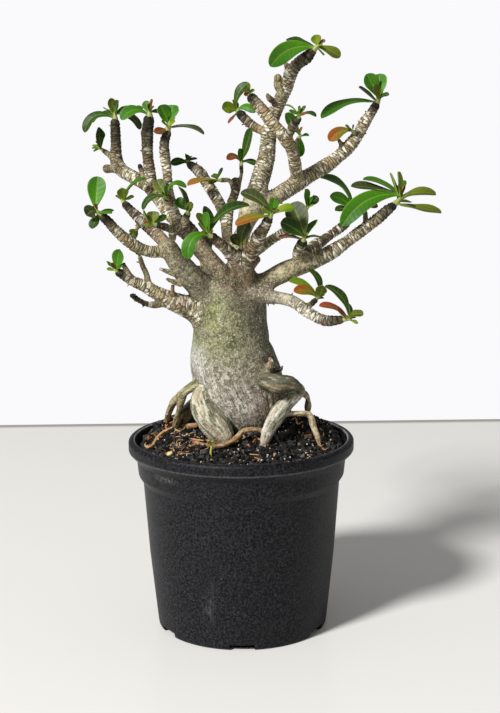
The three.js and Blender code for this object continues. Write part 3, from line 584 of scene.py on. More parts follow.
# Distance from every grid point near a limb to its surface, one stretch of the course at a time:
# the distance to the stretch's line, less the radius there.
def stampCourse(field, low, course):
    cell, places, radii = wood["cell"], course["places"], course["radii"]

    def window(least, most, room):
        return (((least - room - low) / cell).astype(int),
                ((most + room - low) / cell).astype(int) + 2)

    first, last = window(places.min(0), places.max(0), radii.max() + wood["pad"])
    first, last = np.maximum(first, 0), np.minimum(last, field.shape)
    away = np.full(last - first, wood["far"], np.float32)
    thick = np.full(last - first, radii.max(), np.float32)
    for a, b, ra, rb in zip(places[:-1], places[1:], radii[:-1], radii[1:]):
        start, stop = window(np.minimum(a, b), np.maximum(a, b), max(ra, rb) + wood["pad"])
        start, stop = np.maximum(start, first), np.minimum(stop, last)
        x, y, z = ((np.arange(start[k], stop[k]) * cell + low[k] - a[k]).astype(np.float32)
                   .reshape([-1 if k == j else 1 for j in range(3)]) for k in range(3))
        d = b - a
        t = np.clip((x * d[0] + y * d[1] + z * d[2]) / (d @ d), 0, 1)
        radius = ra + t * (rb - ra)
        deep = (y - t * d[1]) / course["squash"][1]
        dist = np.sqrt((x - t * d[0])**2 + deep**2 + (z - t * d[2])**2) - radius
        part = tuple(slice(*ends) for ends in zip(start - first, stop - first))
        closer = dist < away[part]
        away[part] = np.where(closer, dist, away[part])
        thick[part] = np.where(closer, radius, thick[part])
    part = tuple(slice(*ends) for ends in zip(first, last))
    field[part] = melt(field[part], away, webOf(course["kind"], thick))[0]


# The surface where a field is nought: one point in each mixed cell of the grid, at the middle of
# the crossings on its edges, and one quad round each edge that crosses.
def netOf(field, low, cell):
    for _ in range(6):  # fills the cells where two sheets would meet at an edge
        inside, bad = field < 0, 0
        for axis in range(3):
            (a, b, c, d), parts = (
                (g[:, :-1, :-1], g[:, 1:, 1:], g[:, 1:, :-1], g[:, :-1, 1:])
                for g in (np.moveaxis(grid, axis, 0) for grid in (inside, field)))
            cross = (a == b) & (c == d) & (a != c)
            bad += cross.sum()
            for part in parts:
                part[cross] = np.minimum(part[cross], -0.03)
        if not bad:
            break
    inside = field < 0
    size = np.array(field.shape) - 1
    corners = [(i, j, k) for i in (0, 1) for j in (0, 1) for k in (0, 1)]
    count = sum(inside[i:size[0] + i, j:size[1] + j, k:size[2] + k].astype(np.int8)
                for i, j, k in corners)
    mixed = np.argwhere((count > 0) & (count < 8))
    number = np.full(size, -1, np.int32)
    number[tuple(mixed.T)] = np.arange(len(mixed))
    value = {corner: field[tuple((mixed + corner).T)] for corner in corners}
    total, hits = np.zeros((len(mixed), 3)), np.zeros(len(mixed))
    for a in corners:
        for axis in range(3):
            if a[axis]:
                continue
            b = tuple(1 if k == axis else a[k] for k in range(3))
            cross = (value[a] < 0) != (value[b] < 0)
            t = np.where(cross, value[a] / np.where(cross, value[a] - value[b], 1), 0)
            total += cross[:, None] * (np.array(a) + t[:, None] * (np.array(b) - a))
            hits += cross
    points = low + cell * (mixed + total / hits[:, None])
    quads = []
    for axis in range(3):
        b, c = np.eye(3, dtype=int)[[(axis + 1) % 3, (axis + 2) % 3]]
        front, back = [slice(None)] * 3, [slice(None)] * 3
        front[axis], back[axis] = slice(1, None), slice(None, -1)
        here, there = inside[tuple(back)], inside[tuple(front)]
        for turn, wanted in ((1, here & ~there), (-1, ~here & there)):
            spot = np.argwhere(wanted)
            four = [number[tuple((spot - away).T)] for away in (0 * b, b, b + c, c)]
            quads.append(np.stack(four[::turn], 1))
    return points, np.concatenate(quads)


# A direction for each vector, and nought for a vector of no length.
def safeUnit(v):
    return v / np.maximum(np.linalg.norm(v, axis=1), 1e-6)[:, None]


# For each point: distance to a limb's surface, the way out of it, the distance along it, the way
# round it, and the radius there. All points are set against all stretches at once.
def nearCourse(course, spots):
    a, d = course["places"][:-1], np.diff(course["places"], axis=0)
    rel = spots[:, None] - a
    t = np.clip((rel * d).sum(2) / (d * d).sum(1), 0, 1)
    off = rel - t[..., None] * d
    radius = course["radii"][:-1] + t * np.diff(course["radii"])
    dist = np.linalg.norm(off / course["squash"], axis=2) - radius
    row, best = np.arange(len(spots)), dist.argmin(1)
    t, off = t[row, best], off[row, best]
    angle = np.arctan2((off * course["deeps"][best]).sum(1), (off * course["sides"][best]).sum(1))
    return (dist[row, best], safeUnit(off / course["squash"]**2),
            course["run"][best] + t * np.diff(course["run"])[best], angle, radius[row, best])


# The melted distance at each point, with the blend of what each limb says there.
def readField(spots, courses, full=False):
    n = len(spots)
    field, out = np.full(n, wood["far"]), np.zeros((n, 3))
    traits = {key: np.zeros(n) for key in ("young", "limb", "scaly", "root", "rise")}
    traits |= {"along": np.zeros((n, 3)), "thick": np.full(n, 5.0), "tint": np.full((n, 3), 0.3)}
    for number, course in enumerate(courses):
        reach = course["radii"].max() + wood["pad"]
        low, high = course["places"].min(0) - reach, course["places"].max(0) + reach
        near = np.nonzero(((spots > low) & (spots < high)).all(1))[0]
        dist, way, run, angle, radius = nearCourse(course, spots[near])
        melted, share = melt(field[near], dist, webOf(course["kind"], radius))
        field[near] = melted
        out[near] += share[:, None] * (way - out[near])
        if not full:
            continue
        kind, left = course["kind"], course["run"][-1] - run
        scaly = np.clip((run - course["bare"]) / wood["scalyOver"], wood["scalyLeast"], 1)
        dark = darkTips.get(course["name"], wood["youngEnd"])
        grown = kind in ("limb", "snag")
        own = {"young": np.clip(1.15 - left / dark, 0, 1) * (kind == "limb"), "thick": radius,
               "limb": float(grown), "root": float(kind == "root"), "scaly": scaly * grown,
               "rise": barkRise(kind, run, angle, radius, number, spots[near], scaly)}
        for key, value in own.items():
            traits[key][near] += share * (value - traits[key][near])
        traits["tint"][near] += share[:, None] * (course["tint"] - traits["tint"][near])
        long, girth = wood["limbLane" if kind == "limb" else "rootLane"]
        lane = np.stack([run * long + wood["laneApart"] * number, radius * np.cos(angle) * girth,
                         radius * np.sin(angle) * girth], 1)
        traits["along"][near[share > 0.5]] = lane[share > 0.5]
    return field, safeUnit(out), traits


# Smooth pseudo-random waves from -1 to 1: the mean of two products of two crossed sines, whose
# slopes are fixed and whose starts change with the seed.
def waves(spots, size, seed):
    x, y, z = (spots / size).T
    a, b = 1.7 * x + 0.9 * y + 0.4 * z + seed, 0.6 * x - 1.5 * y + 1.1 * z + 2 * seed
    c, d = 1.1 * z + 0.8 * x - 0.5 * y + 3 * seed, 1.3 * y + 0.7 * z + 5 * seed
    return (np.sin(a) * np.sin(b) + np.sin(c) * np.sin(d)) / 2


# Height of the bark. On a limb: leaf scars on a spiral with a golden turn, each a low mound with
# a dimple, over rings that run round. On the trunk and roots: low lumps and shallow upright folds.
def barkRise(kind, run, angle, radius, number, spots, scaly):
    lumps = waves(spots, wood["lumpSize"], number)
    lumps = lumps * wood["trunkLumps" if kind == "trunk" else "lumps"]
    if kind in ("trunk", "root"):
        skin = np.stack([angle * radius, run * wood["foldLong"], 0 * run], 1)
        top, over = wood["foldTop"]
        low = wood["rootFolds"]
        if kind == "trunk":
            low = np.clip((top - spots[:, 2]) / over, wood["foldLeast"], 1)
        return lumps + wood["foldRise"] * waves(skin, wood["foldSize"], number + 1) * low
    pitch = wood["scarArea"] / (2 * np.pi * np.maximum(radius, 1))
    nearest = np.full(len(run), 9.0)
    tall, broad = wood["scarShape"]
    for step in range(-7, 8):  # the scars near enough along the limb to reach the point
        index = np.round(run / pitch) + step
        jitter = np.sin(index * 12.9898 + number) * wood["scarStray"]
        turn = np.radians(index * golden) + jitter * 0.5 - angle
        turn = (turn + np.pi) % (2 * np.pi) - np.pi
        up = run - (index + 0.5 * jitter) * pitch
        nearest = np.minimum(nearest, np.sqrt((up / tall)**2 + (turn * radius / broad)**2))
    mound = (np.clip(1 - (nearest / wood["scarReach"])**2, 0, 1)
             - wood["dimple"] * np.exp(-(nearest / wood["dimpleReach"])**2))
    rings = run * 2 * np.pi / wood["ringGap"] + wood["ringBend"] * np.sin(angle + number)
    rings = np.sin(rings + wood["ringWave"] * waves(spots, 6, number))
    return (wood["scarRise"] * mound + wood["ringRise"] * rings) * scaly + lumps * 0.9


def growWood():
    kinds = (("trunk", trunkLine), ("root", rootLines), ("limb", limbLines), ("snag", snagLines))
    courses = [makeCourse(name, line, kind)
               for kind, lines in kinds for name, line in lines.items()]
    low = np.min([(c["places"] - c["radii"][:, None]).min(0) for c in courses], 0) - wood["margin"]
    high = np.max([(c["places"] + c["radii"][:, None]).max(0) for c in courses], 0) + wood["margin"]
    shape = np.ceil((high - low) / wood["cell"]).astype(int) + 1
    field = np.full(shape, wood["far"], np.float32)
    for course in courses:
        stampCourse(field, low, course)
    points, quads = netOf(field, low, wood["cell"])
    for _ in range(wood["settle"]):
        away, out, _ = readField(points, courses)
        points = points - np.clip(away, -1, 1)[:, None] * out * wood["settleShare"]
    _, out, traits = readField(points, courses, full=True)
    return points + traits["rise"][:, None] * out, quads, traits


# Dry stubs of fallen leaves: small five-sided cones that stand out of the limbs and lean to the
# tip. A longer limb has more of them, and its thick part none.
def makeStubs():
    dice = np.random.default_rng(31)
    courses = [makeCourse(name, line, "limb") for name, line in limbLines.items()]
    weights = np.array([max(c["run"][-1] - 10, 0.5) for c in courses])
    shapes = []
    for i in dice.choice(len(courses), wood["stubs"], p=weights / weights.sum()):
        places, run = courses[i]["places"], courses[i]["run"]
        at = dice.uniform(min(wood["stubFree"], run[-1] / 2), run[-1])
        j = min(int(np.searchsorted(run, at)), len(run) - 2)
        spin, radius = dice.uniform(0, 2 * np.pi), courses[i]["radii"][j]
        ring = np.cos(spin) * courses[i]["sides"][j] + np.sin(spin) * courses[i]["deeps"][j]
        lean = unit(places[j + 1] - places[j]) * dice.uniform(*wood["stubLean"])
        long, wide = dice.uniform(*wood["stubLong"]), dice.uniform(*wood["stubWide"])
        if radius > wood["stubMost"]:
            continue
        foot = places[j] + ring * (radius - wood["stubSunk"])
        top = foot + unit(ring + lean) * (long + wood["stubSunk"])
        middle = (*(foot * 0.5 + top * 0.5), wide * 0.8)
        stations = [(*foot, wide), middle, (*top, wood["stubTip"])]
        shapes.append(tube(stations, 3, 5, wood["stubTones"][dice.integers(5)]))
    return addPiece("dryStubs", *gather(shapes))


# Bark. The trunk is grey-green, mottled with fine specks, darkened down its right by painted shade,
# paler with upright streaks low down, reddish brown at the right there, and lit by a painted
# highlight low on its left. A limb has its own tone: smooth where it begins, then in plates that
# run round it with dark gaps between them, and dark brown at its tip. Roots have bands along them.
# Painted shade darkens the crotch where the limbs leave the trunk, and the bark wherever it dips.
def makeBark():
    bark = Finish("bark", IOR=1.42)
    spots, lane = bark.spots(), bark.spots(of=bark.mark("along", "Vector"))
    young, limb, root, thick, rise, scaly = (bark.mark(name) for name in (
        "young", "limb", "root", "thick", "rise", "scaly"))
    tint = bark.mark("tint", "Color")
    x, z = bark.axes(spots, "XZ")
    cloud = bark.noise(spots, 8, 3, 0.55)
    patch = bark.noise(spots, 3.0, 3, 0.6)
    mottle = bark.noise(spots, 1.3, 3, 0.7)
    speck = bark.noise(spots, 0.75, 2, 0.65)
    streak = bark.noise(lane, 1.25, 2, 0.65)
    band = bark.noise(lane, 3.6, 1, 0.5)
    plates, plateTone = bark.cells(lane, 1.45), bark.cellTone(lane, 1.45)
    low = 1 - (z + x * 0.25).step(111, 138)
    # The trunk's right side: darkened there by painted shade, and reddish brown low down.
    right = x.step(1, 13)
    # Low on the trunk's left, where a painted highlight pales the bark.
    pale = x.step(-12, -22) * z.step(146, 132)
    green = (1 - x.step(-14, 6)) * z.step(128, 152) * (0.15 + cloud.step(0.36, 0.6) * 0.85)
    # Painted shade in the crotch, where the limbs leave the trunk.
    crotchShade = x.step(3, 8) * x.step(21, 12) * z.step(156, 162) * z.step(182, 172)
    some = patch.step(0.4, 0.6)

    trunk = bark.layer(
        bark.mix(patch.step(0.36, 0.62), "#5f5c46", "#8d886c"),
        (green * 0.85, "#84884f"),
        (cloud.step(0.54, 0.64) * 0.7, "#4e4f2a"),
        # Painted shade down the trunk's right side.
        (right * 0.6, "#4c4337"),
        # Painted highlight low on the trunk's left.
        (pale * 0.8, "#b9bab4"),
        (low * 0.9, bark.mix(some, "#9c9182", "#d6d1c4")),
        (low * right * 0.65, "#7a5b44"),
        (mottle.step(0.5, 0.36) * 0.55, "#2b281a"),
        (mottle.step(0.54, 0.66) * 0.5, "#b4b198"),
        (low * streak.step(0.46, 0.38) * 0.75, "#2a2118"),
        (low * streak.step(0.55, 0.66) * some * 0.7, "#ddd8c8"),
        (speck.step(0.58, 0.68) * 0.6, "#dfdccb"),
        (speck.step(0.42, 0.3) * 0.55, "#211d13"))

    smooth = bark.layer(
        bark.mix(patch.step(0.36, 0.6) * 0.6, tint, bark.mix(0.65, tint, "#3b3220")),
        (cloud.step(0.5, 0.6) * 0.45, "#6f6c4c"),
        # Painted shade in the crotch.
        (crotchShade * 0.75, "#54493a"),
        (mottle.step(0.5, 0.36) * 0.7, "#2a2317"),
        (plates.step(0.14, 0.03) * some * 0.6, "#2a2317"),
        (mottle.step(0.55, 0.66) * 0.4, "#c2bda6"),
        (speck.step(0.55, 0.66) * 0.65, "#d8d0b4"))

    limbs = bark.layer(
        bark.mix((plateTone * 0.6 + patch * 0.7).step(0.3, 0.9),
                 bark.mix(0.42, tint, "#4a3b22"), tint),
        ((plateTone + mottle).step(0.98, 1.3) * 0.85, "#f0e9d4"),
        (plates.step(0.13, 0.02) * patch.step(0.3, 0.56) * 0.9, "#251c10"),
        (mottle.step(0.45, 0.32) * 0.7, "#2c2214"),
        (cloud.step(0.55, 0.66) * 0.4, "#66683a"),
        (cloud.step(0.43, 0.37) * 0.4, "#855a40"),
        (young, bark.mix(plateTone.step(0.35, 0.95), "#1a150a", "#463e22")))

    roots = bark.layer(
        bark.mix(band.step(0.5, 0.42) * 0.9, bark.mix(0.08, tint, "#e6e3d8"),
                 bark.mix(0.75, tint, "#4a4c1c")),
        (band.step(0.56, 0.62) * 0.5, "#8a6c3e"),
        (streak.step(0.46, 0.36) * 0.6, "#3a3020"),
        (speck.step(0.42, 0.3) * 0.6, "#2c2416"),
        (streak.step(0.54, 0.64) * 0.5, bark.mix(0.5, tint, "#f0ecdf")),
        (mottle.step(0.45, 0.34) * 0.5, "#403724"),
        (z.step(103, 93) * (0.25 + speck.step(0.4, 0.6) * 0.45), "#8f5f34"),
        (thick.step(2.1, 1.2) * patch.step(0.46, 0.58) * 0.7, "#855a30"))

    colour = bark.mix(limb.step(0.3, 0.8), trunk, bark.mix(scaly.step(0.15, 0.7), smooth, limbs))
    # Painted shade: the bark is darkened wherever its surface dips.
    colour = bark.layer(colour, (root.step(0.35, 0.65), roots),
                        (rise.step(-0.05, -0.45) * 0.45, "#2f2618"))
    relief = speck * 0.7 + mottle * 1.1 + streak * (0.5 + low * 2)
    relief = relief + scaly * plates.step(0.0, 0.22) * 1.4
    return bark.set(Base_Color=colour, Roughness=0.62 + patch * 0.25,
                    Normal=bark.bump(relief, 0.5, 1.0))


# Dry stubs: each in its own tone, darker in spots.
def makeStubFinish():
    dry = Finish("dryStub", Roughness=0.8)
    dark = dry.noise(dry.spots(), 0.6).step(0.4, 0.7) * 0.5
    return dry.set(Base_Color=dry.mix(dark, dry.mark("tint", "Color"), "#1f170e"))


woodPoints, woodQuads, woodTraits = growWood()
settle(addPiece("wood", woodPoints, woodQuads, marks=woodTraits), makeBark(), "bark",
       "trunk_and_limbs")
settle(makeStubs(), makeStubFinish(), "bark")


# The leaves. Each spray stands on the tip of the limb of its name: the length of its growing
# point, then for each leaf how far its point is across, away and up from the limb's end, its
# width, the rise of its arch, its turn from facing the front to facing the sky, and its tone.
leafSprays = {
    "back": (5, [(-15, -2, -4.5, 6, 5, 40, "dark"), (-12, 9, 0, 6, 3, 50, "dark"),
        (-2, 3, 12, 5, -1, 40, "olive"), (2, -4, 11, 5, 0, 70, "dark"),
        (8, 7, 7, 6, 1, 60, "olive"), (8, -5, 6, 5, 1, 30, "green"),
        (12, 3, -3.5, 6, 2.5, 40, "dusk"), (-5, 14, 6, 7, 0, 50, "green")]),
    "backTwig": (3, [(-2, -3, 12, 7, -2, 50, "dark"), (-5, -2, 0, 2, 0, 40, "dark")]),
    "backMid": (5, [(-13, -4, 0.5, 6.5, 3.5, 40, "green"), (-2, 4, 9, 4, 0, 0, "green"),
        (2, -4, 10, 4, 0, 60, "red"), (6, 4, 4, 3, 0, 40, "dark"), (-5, 13, 5, 6, 1, 50, "green")]),
    "forkUp": (6, [(-5.5, -5, 1, 4, 0, 20, "red"), (17.3, -4, 0, 6, 2.2, 70, "dusk"),
        (-2, -5, 6, 3, 0, 60, "lime"), (4, -4, 6, 4, 0, 50, "lime"), (-3, 0, 13, 8, 0, 30, "green"),
        (3, 4, 13, 8, 0, 20, "green"), (4, 10, 9, 6, 1, 50, "green")]),
    "leftLow": (5, [(-4.5, -5, -5, 5, 0, 20, "dark"), (5, 3, 2.5, 3, 0, 40, "dark"),
        (5, -6, 2, 3, 0, 70, "green"), (-6.5, -6, 1, 7, 1, 0, "dusk"),
        (-2, 3, 18, 8.5, 0, 10, "green")]),
    "leftHigh": (4, [(-1.5, -5, 8.5, 5.5, 1, 0, "lime"), (9, 1, 12.5, 5, 2.2, 60, "green"),
        (4, -3, 4, 3, 0, 50, "dark"), (0, 8, 5, 4, 1, 40, "green")]),
    "leftHighTwig": (3, [(-4, -2, -5, 3, 0, 0, "green"), (-2, 3, -8, 4, 0, 70, "dark")]),
    "lowLeft": (3, [(0.5, -3.5, 11.5, 6, 0, 0, "green"), (-6, 0, 5.5, 3, 0, 60, "green"),
        (2, -3, 4, 2.5, 0, 50, "green")]),
    "lowLeftShoot": (2.5, [(-2, -2, 4, 2, 0, 0, "dark"), (1, 4, 4, 2, 0, 30, "green")]),
    "leftFront": (3, [(-6, -3, 7, 4, -1, 60, "lime"), (-2, 2, 6, 6, 0, 0, "olive"),
        (4, 3, 4, 3, 0, 0, "dark")]),
    "forkSpurA": (3, [(-11, -4, -5, 5, 3, 50, "dark"), (9, -3, 5, 5, 4, 60, "green"),
        (-5, 3, 8, 6, 0, 0, "olive"), (-1, -8, 6, 4, 0, 60, "green")]),
    "forkSpurB": (3, [(-5, 2, 7, 5, 0, 0, "green"), (-4, 7, 12, 6, 1, 70, "dark"),
        (2, -3, 6, 3, 0, 0, "olive")]),
    "centreLeft": (4, [(-11, -8, -9, 7, 5, 20, "green"), (17, 4, 14, 9, 4, 50, "dark"),
        (-7, 1, 11, 5, 0, 40, "olive"), (-3, 9, 13, 7, 0, 60, "dark"),
        (-2, -7, 12, 6, 0, 50, "green")]),
    "innerBack": (4, [(-10, -4, 1, 4, 1, 0, "dark"), (-2, 3, 5, 3, 0, 40, "dark"),
        (0, 6, 4, 3, 0, 50, "olive"), (3, 4, 3, 3, 0, 50, "dark")]),
    "innerLeft": (3, [(-17, -4, -2, 7, 1, 70, "amber"), (-4, 3, 3, 3, 0, 20, "green"),
        (0, 0, 6, 2, 0, 40, "dark")]),
    "innerRight": (3, [(-7, -3, 4, 4, 2, 50, "red"), (8, 0, 1, 3, 1, 10, "dark"),
        (-1, -3, 9, 4, 0, 30, "green"), (5, -5, 19, 7, -1, 60, "dark")]),
    "mainSide": (4, [(-6, -4, -4, 3, 0, 50, "red"), (-9, -4, 3, 6, 1, 0, "lime"),
        (7, -3, 1, 4, 2, 0, "green"), (4, 2, 15, 6, 2, 60, "dark")]),
    "inward": (3, [(-4, -2, 2, 2, 0, 0, "red"), (1, 2, 4, 2, 0, 30, "green"),
        (-2, -4, 3, 2, 0, 40, "green")]),
    "main": (4, [(-20, -6, -7, 9, 4, 0, "green"), (-12, 7, 5.5, 7, 0, 60, "dark"),
        (5, -5, -2, 3, 0, 60, "green"), (12.8, -2, -3, 6, 0.6, 30, "olive"),
        (1, -2, 7.4, 5, 0, 0, "lime"), (5, 9, 4, 5, 0, 40, "dark")]),
    "inwardTwig": (3, [(-8, 0, 6.5, 3, 2, 70, "lime"), (8.6, -3, 1.2, 4, 1.4, 60, "dark"),
        (-4, -3, 4, 3, 0, 50, "green")]),
    "inwardSpur": (3, [(1, 8, -9, 5, 1, 20, "green"), (-6, -3, 12.5, 6, 0, 40, "green")]),
    "crossing": (5, [(-26.6, -6, -5.4, 9, 3.4, 50, "green"), (-8, 0, 9.5, 5, 0, 70, "dark"),
        (6.5, -3, 5.5, 3, 1, 40, "dark"), (-1, -5, 10.5, 4.5, 0, 30, "olive"),
        (-4.5, -1, 15.5, 8, 0, 30, "green"), (2.5, 5, 15.5, 8, 0, 20, "green"),
        (-2, 12, 8.5, 6, 0, 50, "dark")]),
    "crossingSpur": (2.5, [(-12, -2, -4, 6, 2, 0, "amber")]),
    "lowRight": (8.5, [(22.5, -7.5, -2.4, 8, 0, 60, "olive"),
        (20.5, -2.5, 5.6, 8, 2.6, 60, "olive"), (6.5, 8.5, 11.6, 5, 0, 50, "green"),
        (8.5, -5.5, 2.6, 4, 0, 70, "dark"), (-0.5, 4.5, 15.6, 6, 0, 70, "lime"),
        (2.5, -2.5, 16.6, 6, 0, 60, "lime"), (-13.5, 5.5, 12.6, 8, 2, 60, "green"),
        (-19.5, 1.5, 9.6, 9, 1, 60, "dusk"), (-24.5, -9.5, -8.4, 9, 6, 20, "green")]),
    "lowRightBack": (3, [(-16, 0, 19, 9, 5, 60, "green"), (-10.5, -3, 9.8, 6, 2, 20, "green"),
        (-8, -5, 3, 4, 1, 50, "dark")]),
    "lowRightSpur": (3, [(-5, -2, -1, 3, 0, 50, "dark"), (6, 0, 3, 3, 1, 40, "olive"),
        (1, 2, 4, 2, 0, 30, "green")]),
    "lowRightUp": (4, [(-11, -5, 3, 5, 1, 60, "red"), (9, 4, 2, 4, 1, 70, "dark"),
        (7, 6, 10, 6, 0, 70, "green"), (-10, -5, 10, 8, 1, 30, "dark"),
        (-5, 3, 18, 10.5, 1, 0, "dusk")]),
    "right": (4, [(-3, -2, 5, 3, 0, 60, "dark"), (1, -3, 11, 5, 0, 50, "green"),
        (7, 2, 7, 4, 0, 0, "dark"), (5, 6, 7, 4, 0, 60, "dark")]),
    "centreFront": (5, [(-15, -4, -2, 6, 1, 40, "amber"), (12, 0, 5, 5, 1, 40, "lime"),
        (-12.5, 3, 12, 7, 2, 30, "dusk"), (-3, -4, 5, 3, 0, 20, "lime"),
        (3, 3, 9, 5, 0, 0, "green"), (-2, -9, 6, 5, 0, 50, "olive")]),
    "centreSpur": (3, [(-4.6, -2, 7, 5, 0, 20, "dusk"), (3.7, -2.5, 13.5, 7, 1, 10, "dusk")]),
    "underRight": (5, [(10, -4, 3, 5, 1, 60, "olive"), (10, 4, 3, 5, 1, 70, "dark"),
        (-2, -5, 6, 3, 0, 60, "red"), (-10, -3, 7, 5, 2, 60, "red"), (-7, 4, 15, 7, 3, 60, "dark"),
        (4, 2, 7, 4, 0, 70, "green")]),
    "underRightUp": (3, [(-10, -4, 5, 5, 2, 20, "amber"), (-12, 1, 9, 6, 2, 50, "lime"),
        (-3, 5, 14, 6, 3, 60, "dark"), (3.5, -3, 7.5, 5.5, 0, 0, "olive")]),
    "hidden": (4, [(-4, 8, 8, 5, 1, 10, "green"), (3, 6, 11, 5, 1, 20, "green"),
        (-1, 15, 2, 6, 2, 40, "dark"), (-5, 12, -4, 6, 2, 40, "olive")]),
}

leafLook = {
    "thick": 0.85, "fold": 0.13, "stalk": 0.62, "lowest": 1.8, "gap": 0.35,
    "rows": 20, "across": (0, 0.07, 0.17, 0.34, 0.55, 0.76, 0.92, 1),
    "crowd": 1.35, "foot": 1.2, "tip": 0.55,  # powers of the rows' spacing and the half width
    "lean": 8, "twist": 14,  # random turn of a leaf, and from its foot to its tip
    "wave": 0.035, "flop": 0.05, "groove": 0.10, "rib": 0.26, "ribWide": 0.1,
    "fullWidth": 5,  # a narrower leaf is thinner too, and one under `stalkWidth` has no stalk
    "stalkWidth": 2.5, "stalkLeast": 0.12, "tint": (0.85, 1.15),
    "budLeaves": 4, "budReach": 3.4, "budWidth": 1.7, "budRows": 8, "budSize": (0.7, 1.3),
    "budSpread": (0.25, 0.8), "budArch": 0.3, "budTurn": 30,
    "budTones": ("lime", "red", "green", "olive"), "stems": ("#8c6a44", "#7f8243", "#7f8243"),
}
leafTones = {  # at the foot and at the tip
    "green": ("#448005", "#306603"), "dark": ("#2f4e09", "#1f3708"), "dusk": ("#414b22", "#34361e"),
    "olive": ("#636f12", "#4a4e10"), "lime": ("#8a9c18", "#5d7a0c"),
    "amber": ("#6a7616", "#a8501a"), "red": ("#664522", "#8a2f26"),
}
toEye = np.array([0, -0.98, 0.2])
skyward = np.array([0, 0, 1.0])


# A leaf as a closed ring of points for each step along it. Its half width is t to the power 1.2
# times (1 - t) to the power 0.55, its middle line rises by arch * 4t(1 - t), its sides fold up by
# |a| to the power 1.5 and wave a little, and its thickness falls off as the root of 1 - a * a.
def leafShape(root, reach, width, arch, turn, tone, seed, rows):
    dice = np.random.default_rng(seed)
    length = np.linalg.norm(reach)
    course = reach / length
    lift = unit(skyward - skyward @ course * course)
    front = unit(toEye - toEye @ course * course)
    sky = np.cross(course, front)
    sky = -sky if sky[2] < 0 else sky
    half = np.concatenate([-np.array(leafLook["across"])[::-1], leafLook["across"][1:]])
    a = np.concatenate([half, half[-2:0:-1]])  # across the top, then back across the underside
    top = np.concatenate([np.ones(len(half)), -np.ones(len(half) - 2)])
    t = 1 - (1 - np.linspace(0, 1, rows)) ** leafLook["crowd"]
    lean, twist = (dice.uniform(-most, most) for most in (leafLook["lean"], leafLook["twist"]))
    lean = np.radians(turn + lean + twist * t)[:, None]
    facing = front * np.cos(lean) + sky * np.sin(lean)
    centre = root + reach * t[:, None] + lift * (arch * 4 * t * (1 - t))[:, None]
    tangent = unit(course + lift * (arch * 4 * (1 - 2 * t) / length)[:, None])
    face = unit(facing - (facing * tangent).sum(1, keepdims=True) * tangent)
    side = np.cross(tangent, face)
    share = (t + 0.015) ** leafLook["foot"] * (1 - t) ** leafLook["tip"]
    share /= share.max()
    stalk = leafLook["stalk"] * (1 - t) ** 0.4 * (width > leafLook["stalkWidth"])
    wide = np.maximum(share * width / 2, stalk + leafLook["stalkLeast"])
    wave = leafLook["wave"] * width * np.sin(t * dice.uniform(7, 11) + dice.uniform(0, 6))
    flop = dice.uniform(-leafLook["flop"], leafLook["flop"]) * width
    size = min(1, width / leafLook["fullWidth"])
    body = leafLook["thick"] * size * (0.55 + 0.45 * (1 - t))[:, None] / 2
    crease = np.where(top > 0, leafLook["groove"], leafLook["rib"]) * size
    crease = crease * np.exp(-(a / leafLook["ribWide"])**2)
    out = (np.abs(a) ** 1.5 * leafLook["fold"] * (share * width)[:, None]
           + (wave * share)[:, None] * np.sign(a) * a**2 + flop * share[:, None] * a
           + top * body * np.sqrt(np.maximum(1 - a * a, 0)) - crease * (share > 0.2)[:, None])
    points = (centre[:, None] + side[:, None] * (wide[:, None] * a)[..., None]
              + face[:, None] * out[..., None])
    count, ends = len(a), [0, 0]
    points = np.vstack([points.reshape(-1, 3), centre[:1], centre[-1:]])
    foot, tip = (np.array(paint(code)) * dice.uniform(*leafLook["tint"])
                 for code in leafTones[tone])
    spread = np.concatenate([np.tile(a, rows), ends])
    run = np.concatenate([np.repeat(t, count), [0, 1]])
    ripe = np.clip(run * 1.15 - 0.1 + 0.35 * spread * dice.choice([-1, 1]), 0, 1)[:, None]
    apart = np.full(len(points), seed * 7.0)
    marks = {"tint": foot + (tip - foot) * ripe, "rib": spread, "tall": run,
             "blade": np.stack([spread * width / 2, run * length, apart], 1),
             "under": np.concatenate([np.tile((top < 0) * 1.0, rows), ends])}
    return points, *skinFaces(rows, count, flip=True), marks


# A spray: its leaves from foot to top, a few tiny ones round the tip, and a short growing point.
def makeSpray(name, number):
    tip, leaves = leafSprays[name]
    stations = np.array(limbLines[name], float)
    end, before = stations[-1, :3], stations[-2, :3]
    course = unit(end - before)
    gap, lowest = leafLook["gap"], leafLook["lowest"]
    shapes = []
    for i, (across, away, rise, width, arch, turn, tone) in enumerate(leaves):
        root = end + course * (gap + lowest + (tip - lowest) * i / len(leaves))
        reach = end + np.array([across, away, rise]) - root
        shapes.append(leafShape(root, reach, width, arch, turn, tone, number * 40 + i,
                                leafLook["rows"]))
    dice = np.random.default_rng(900 + number)
    sides, deeps = framesOf(np.array([before, end, end + course]))
    for i in range(leafLook["budLeaves"]):
        spin = np.radians(i * golden + 60 * number)
        ring = np.cos(spin) * sides[1] + np.sin(spin) * deeps[1]
        size = dice.uniform(*leafLook["budSize"])
        root = end + course * (gap + tip * (0.55 + 0.1 * i)) + ring * 0.5
        reach = course * 1.1 + ring * dice.uniform(*leafLook["budSpread"])
        shapes.append(leafShape(root, reach * leafLook["budReach"] * size,
                                leafLook["budWidth"] * size, leafLook["budArch"],
                                leafLook["budTurn"], leafLook["budTones"][(i + number) % 4],
                                number * 40 + 20 + i, leafLook["budRows"]))
    radius = max(1.1, stations[-1, 3] * 0.85)
    foot, top = end + course * gap, end + course * (gap + tip)
    points, quads, tris, marks = tube(
        [(*foot, radius), (*(0.6 * foot + 0.4 * top), radius * 0.8), (*top, 0.5)], 0.8, 10,
        leafLook["stems"][number % 3])
    none = np.zeros(len(points))
    marks |= {"rib": none + 0.5, "tall": none, "blade": points, "under": none}
    return addPiece("spray_" + name, *gather(shapes + [(points, quads, tris, marks)]))


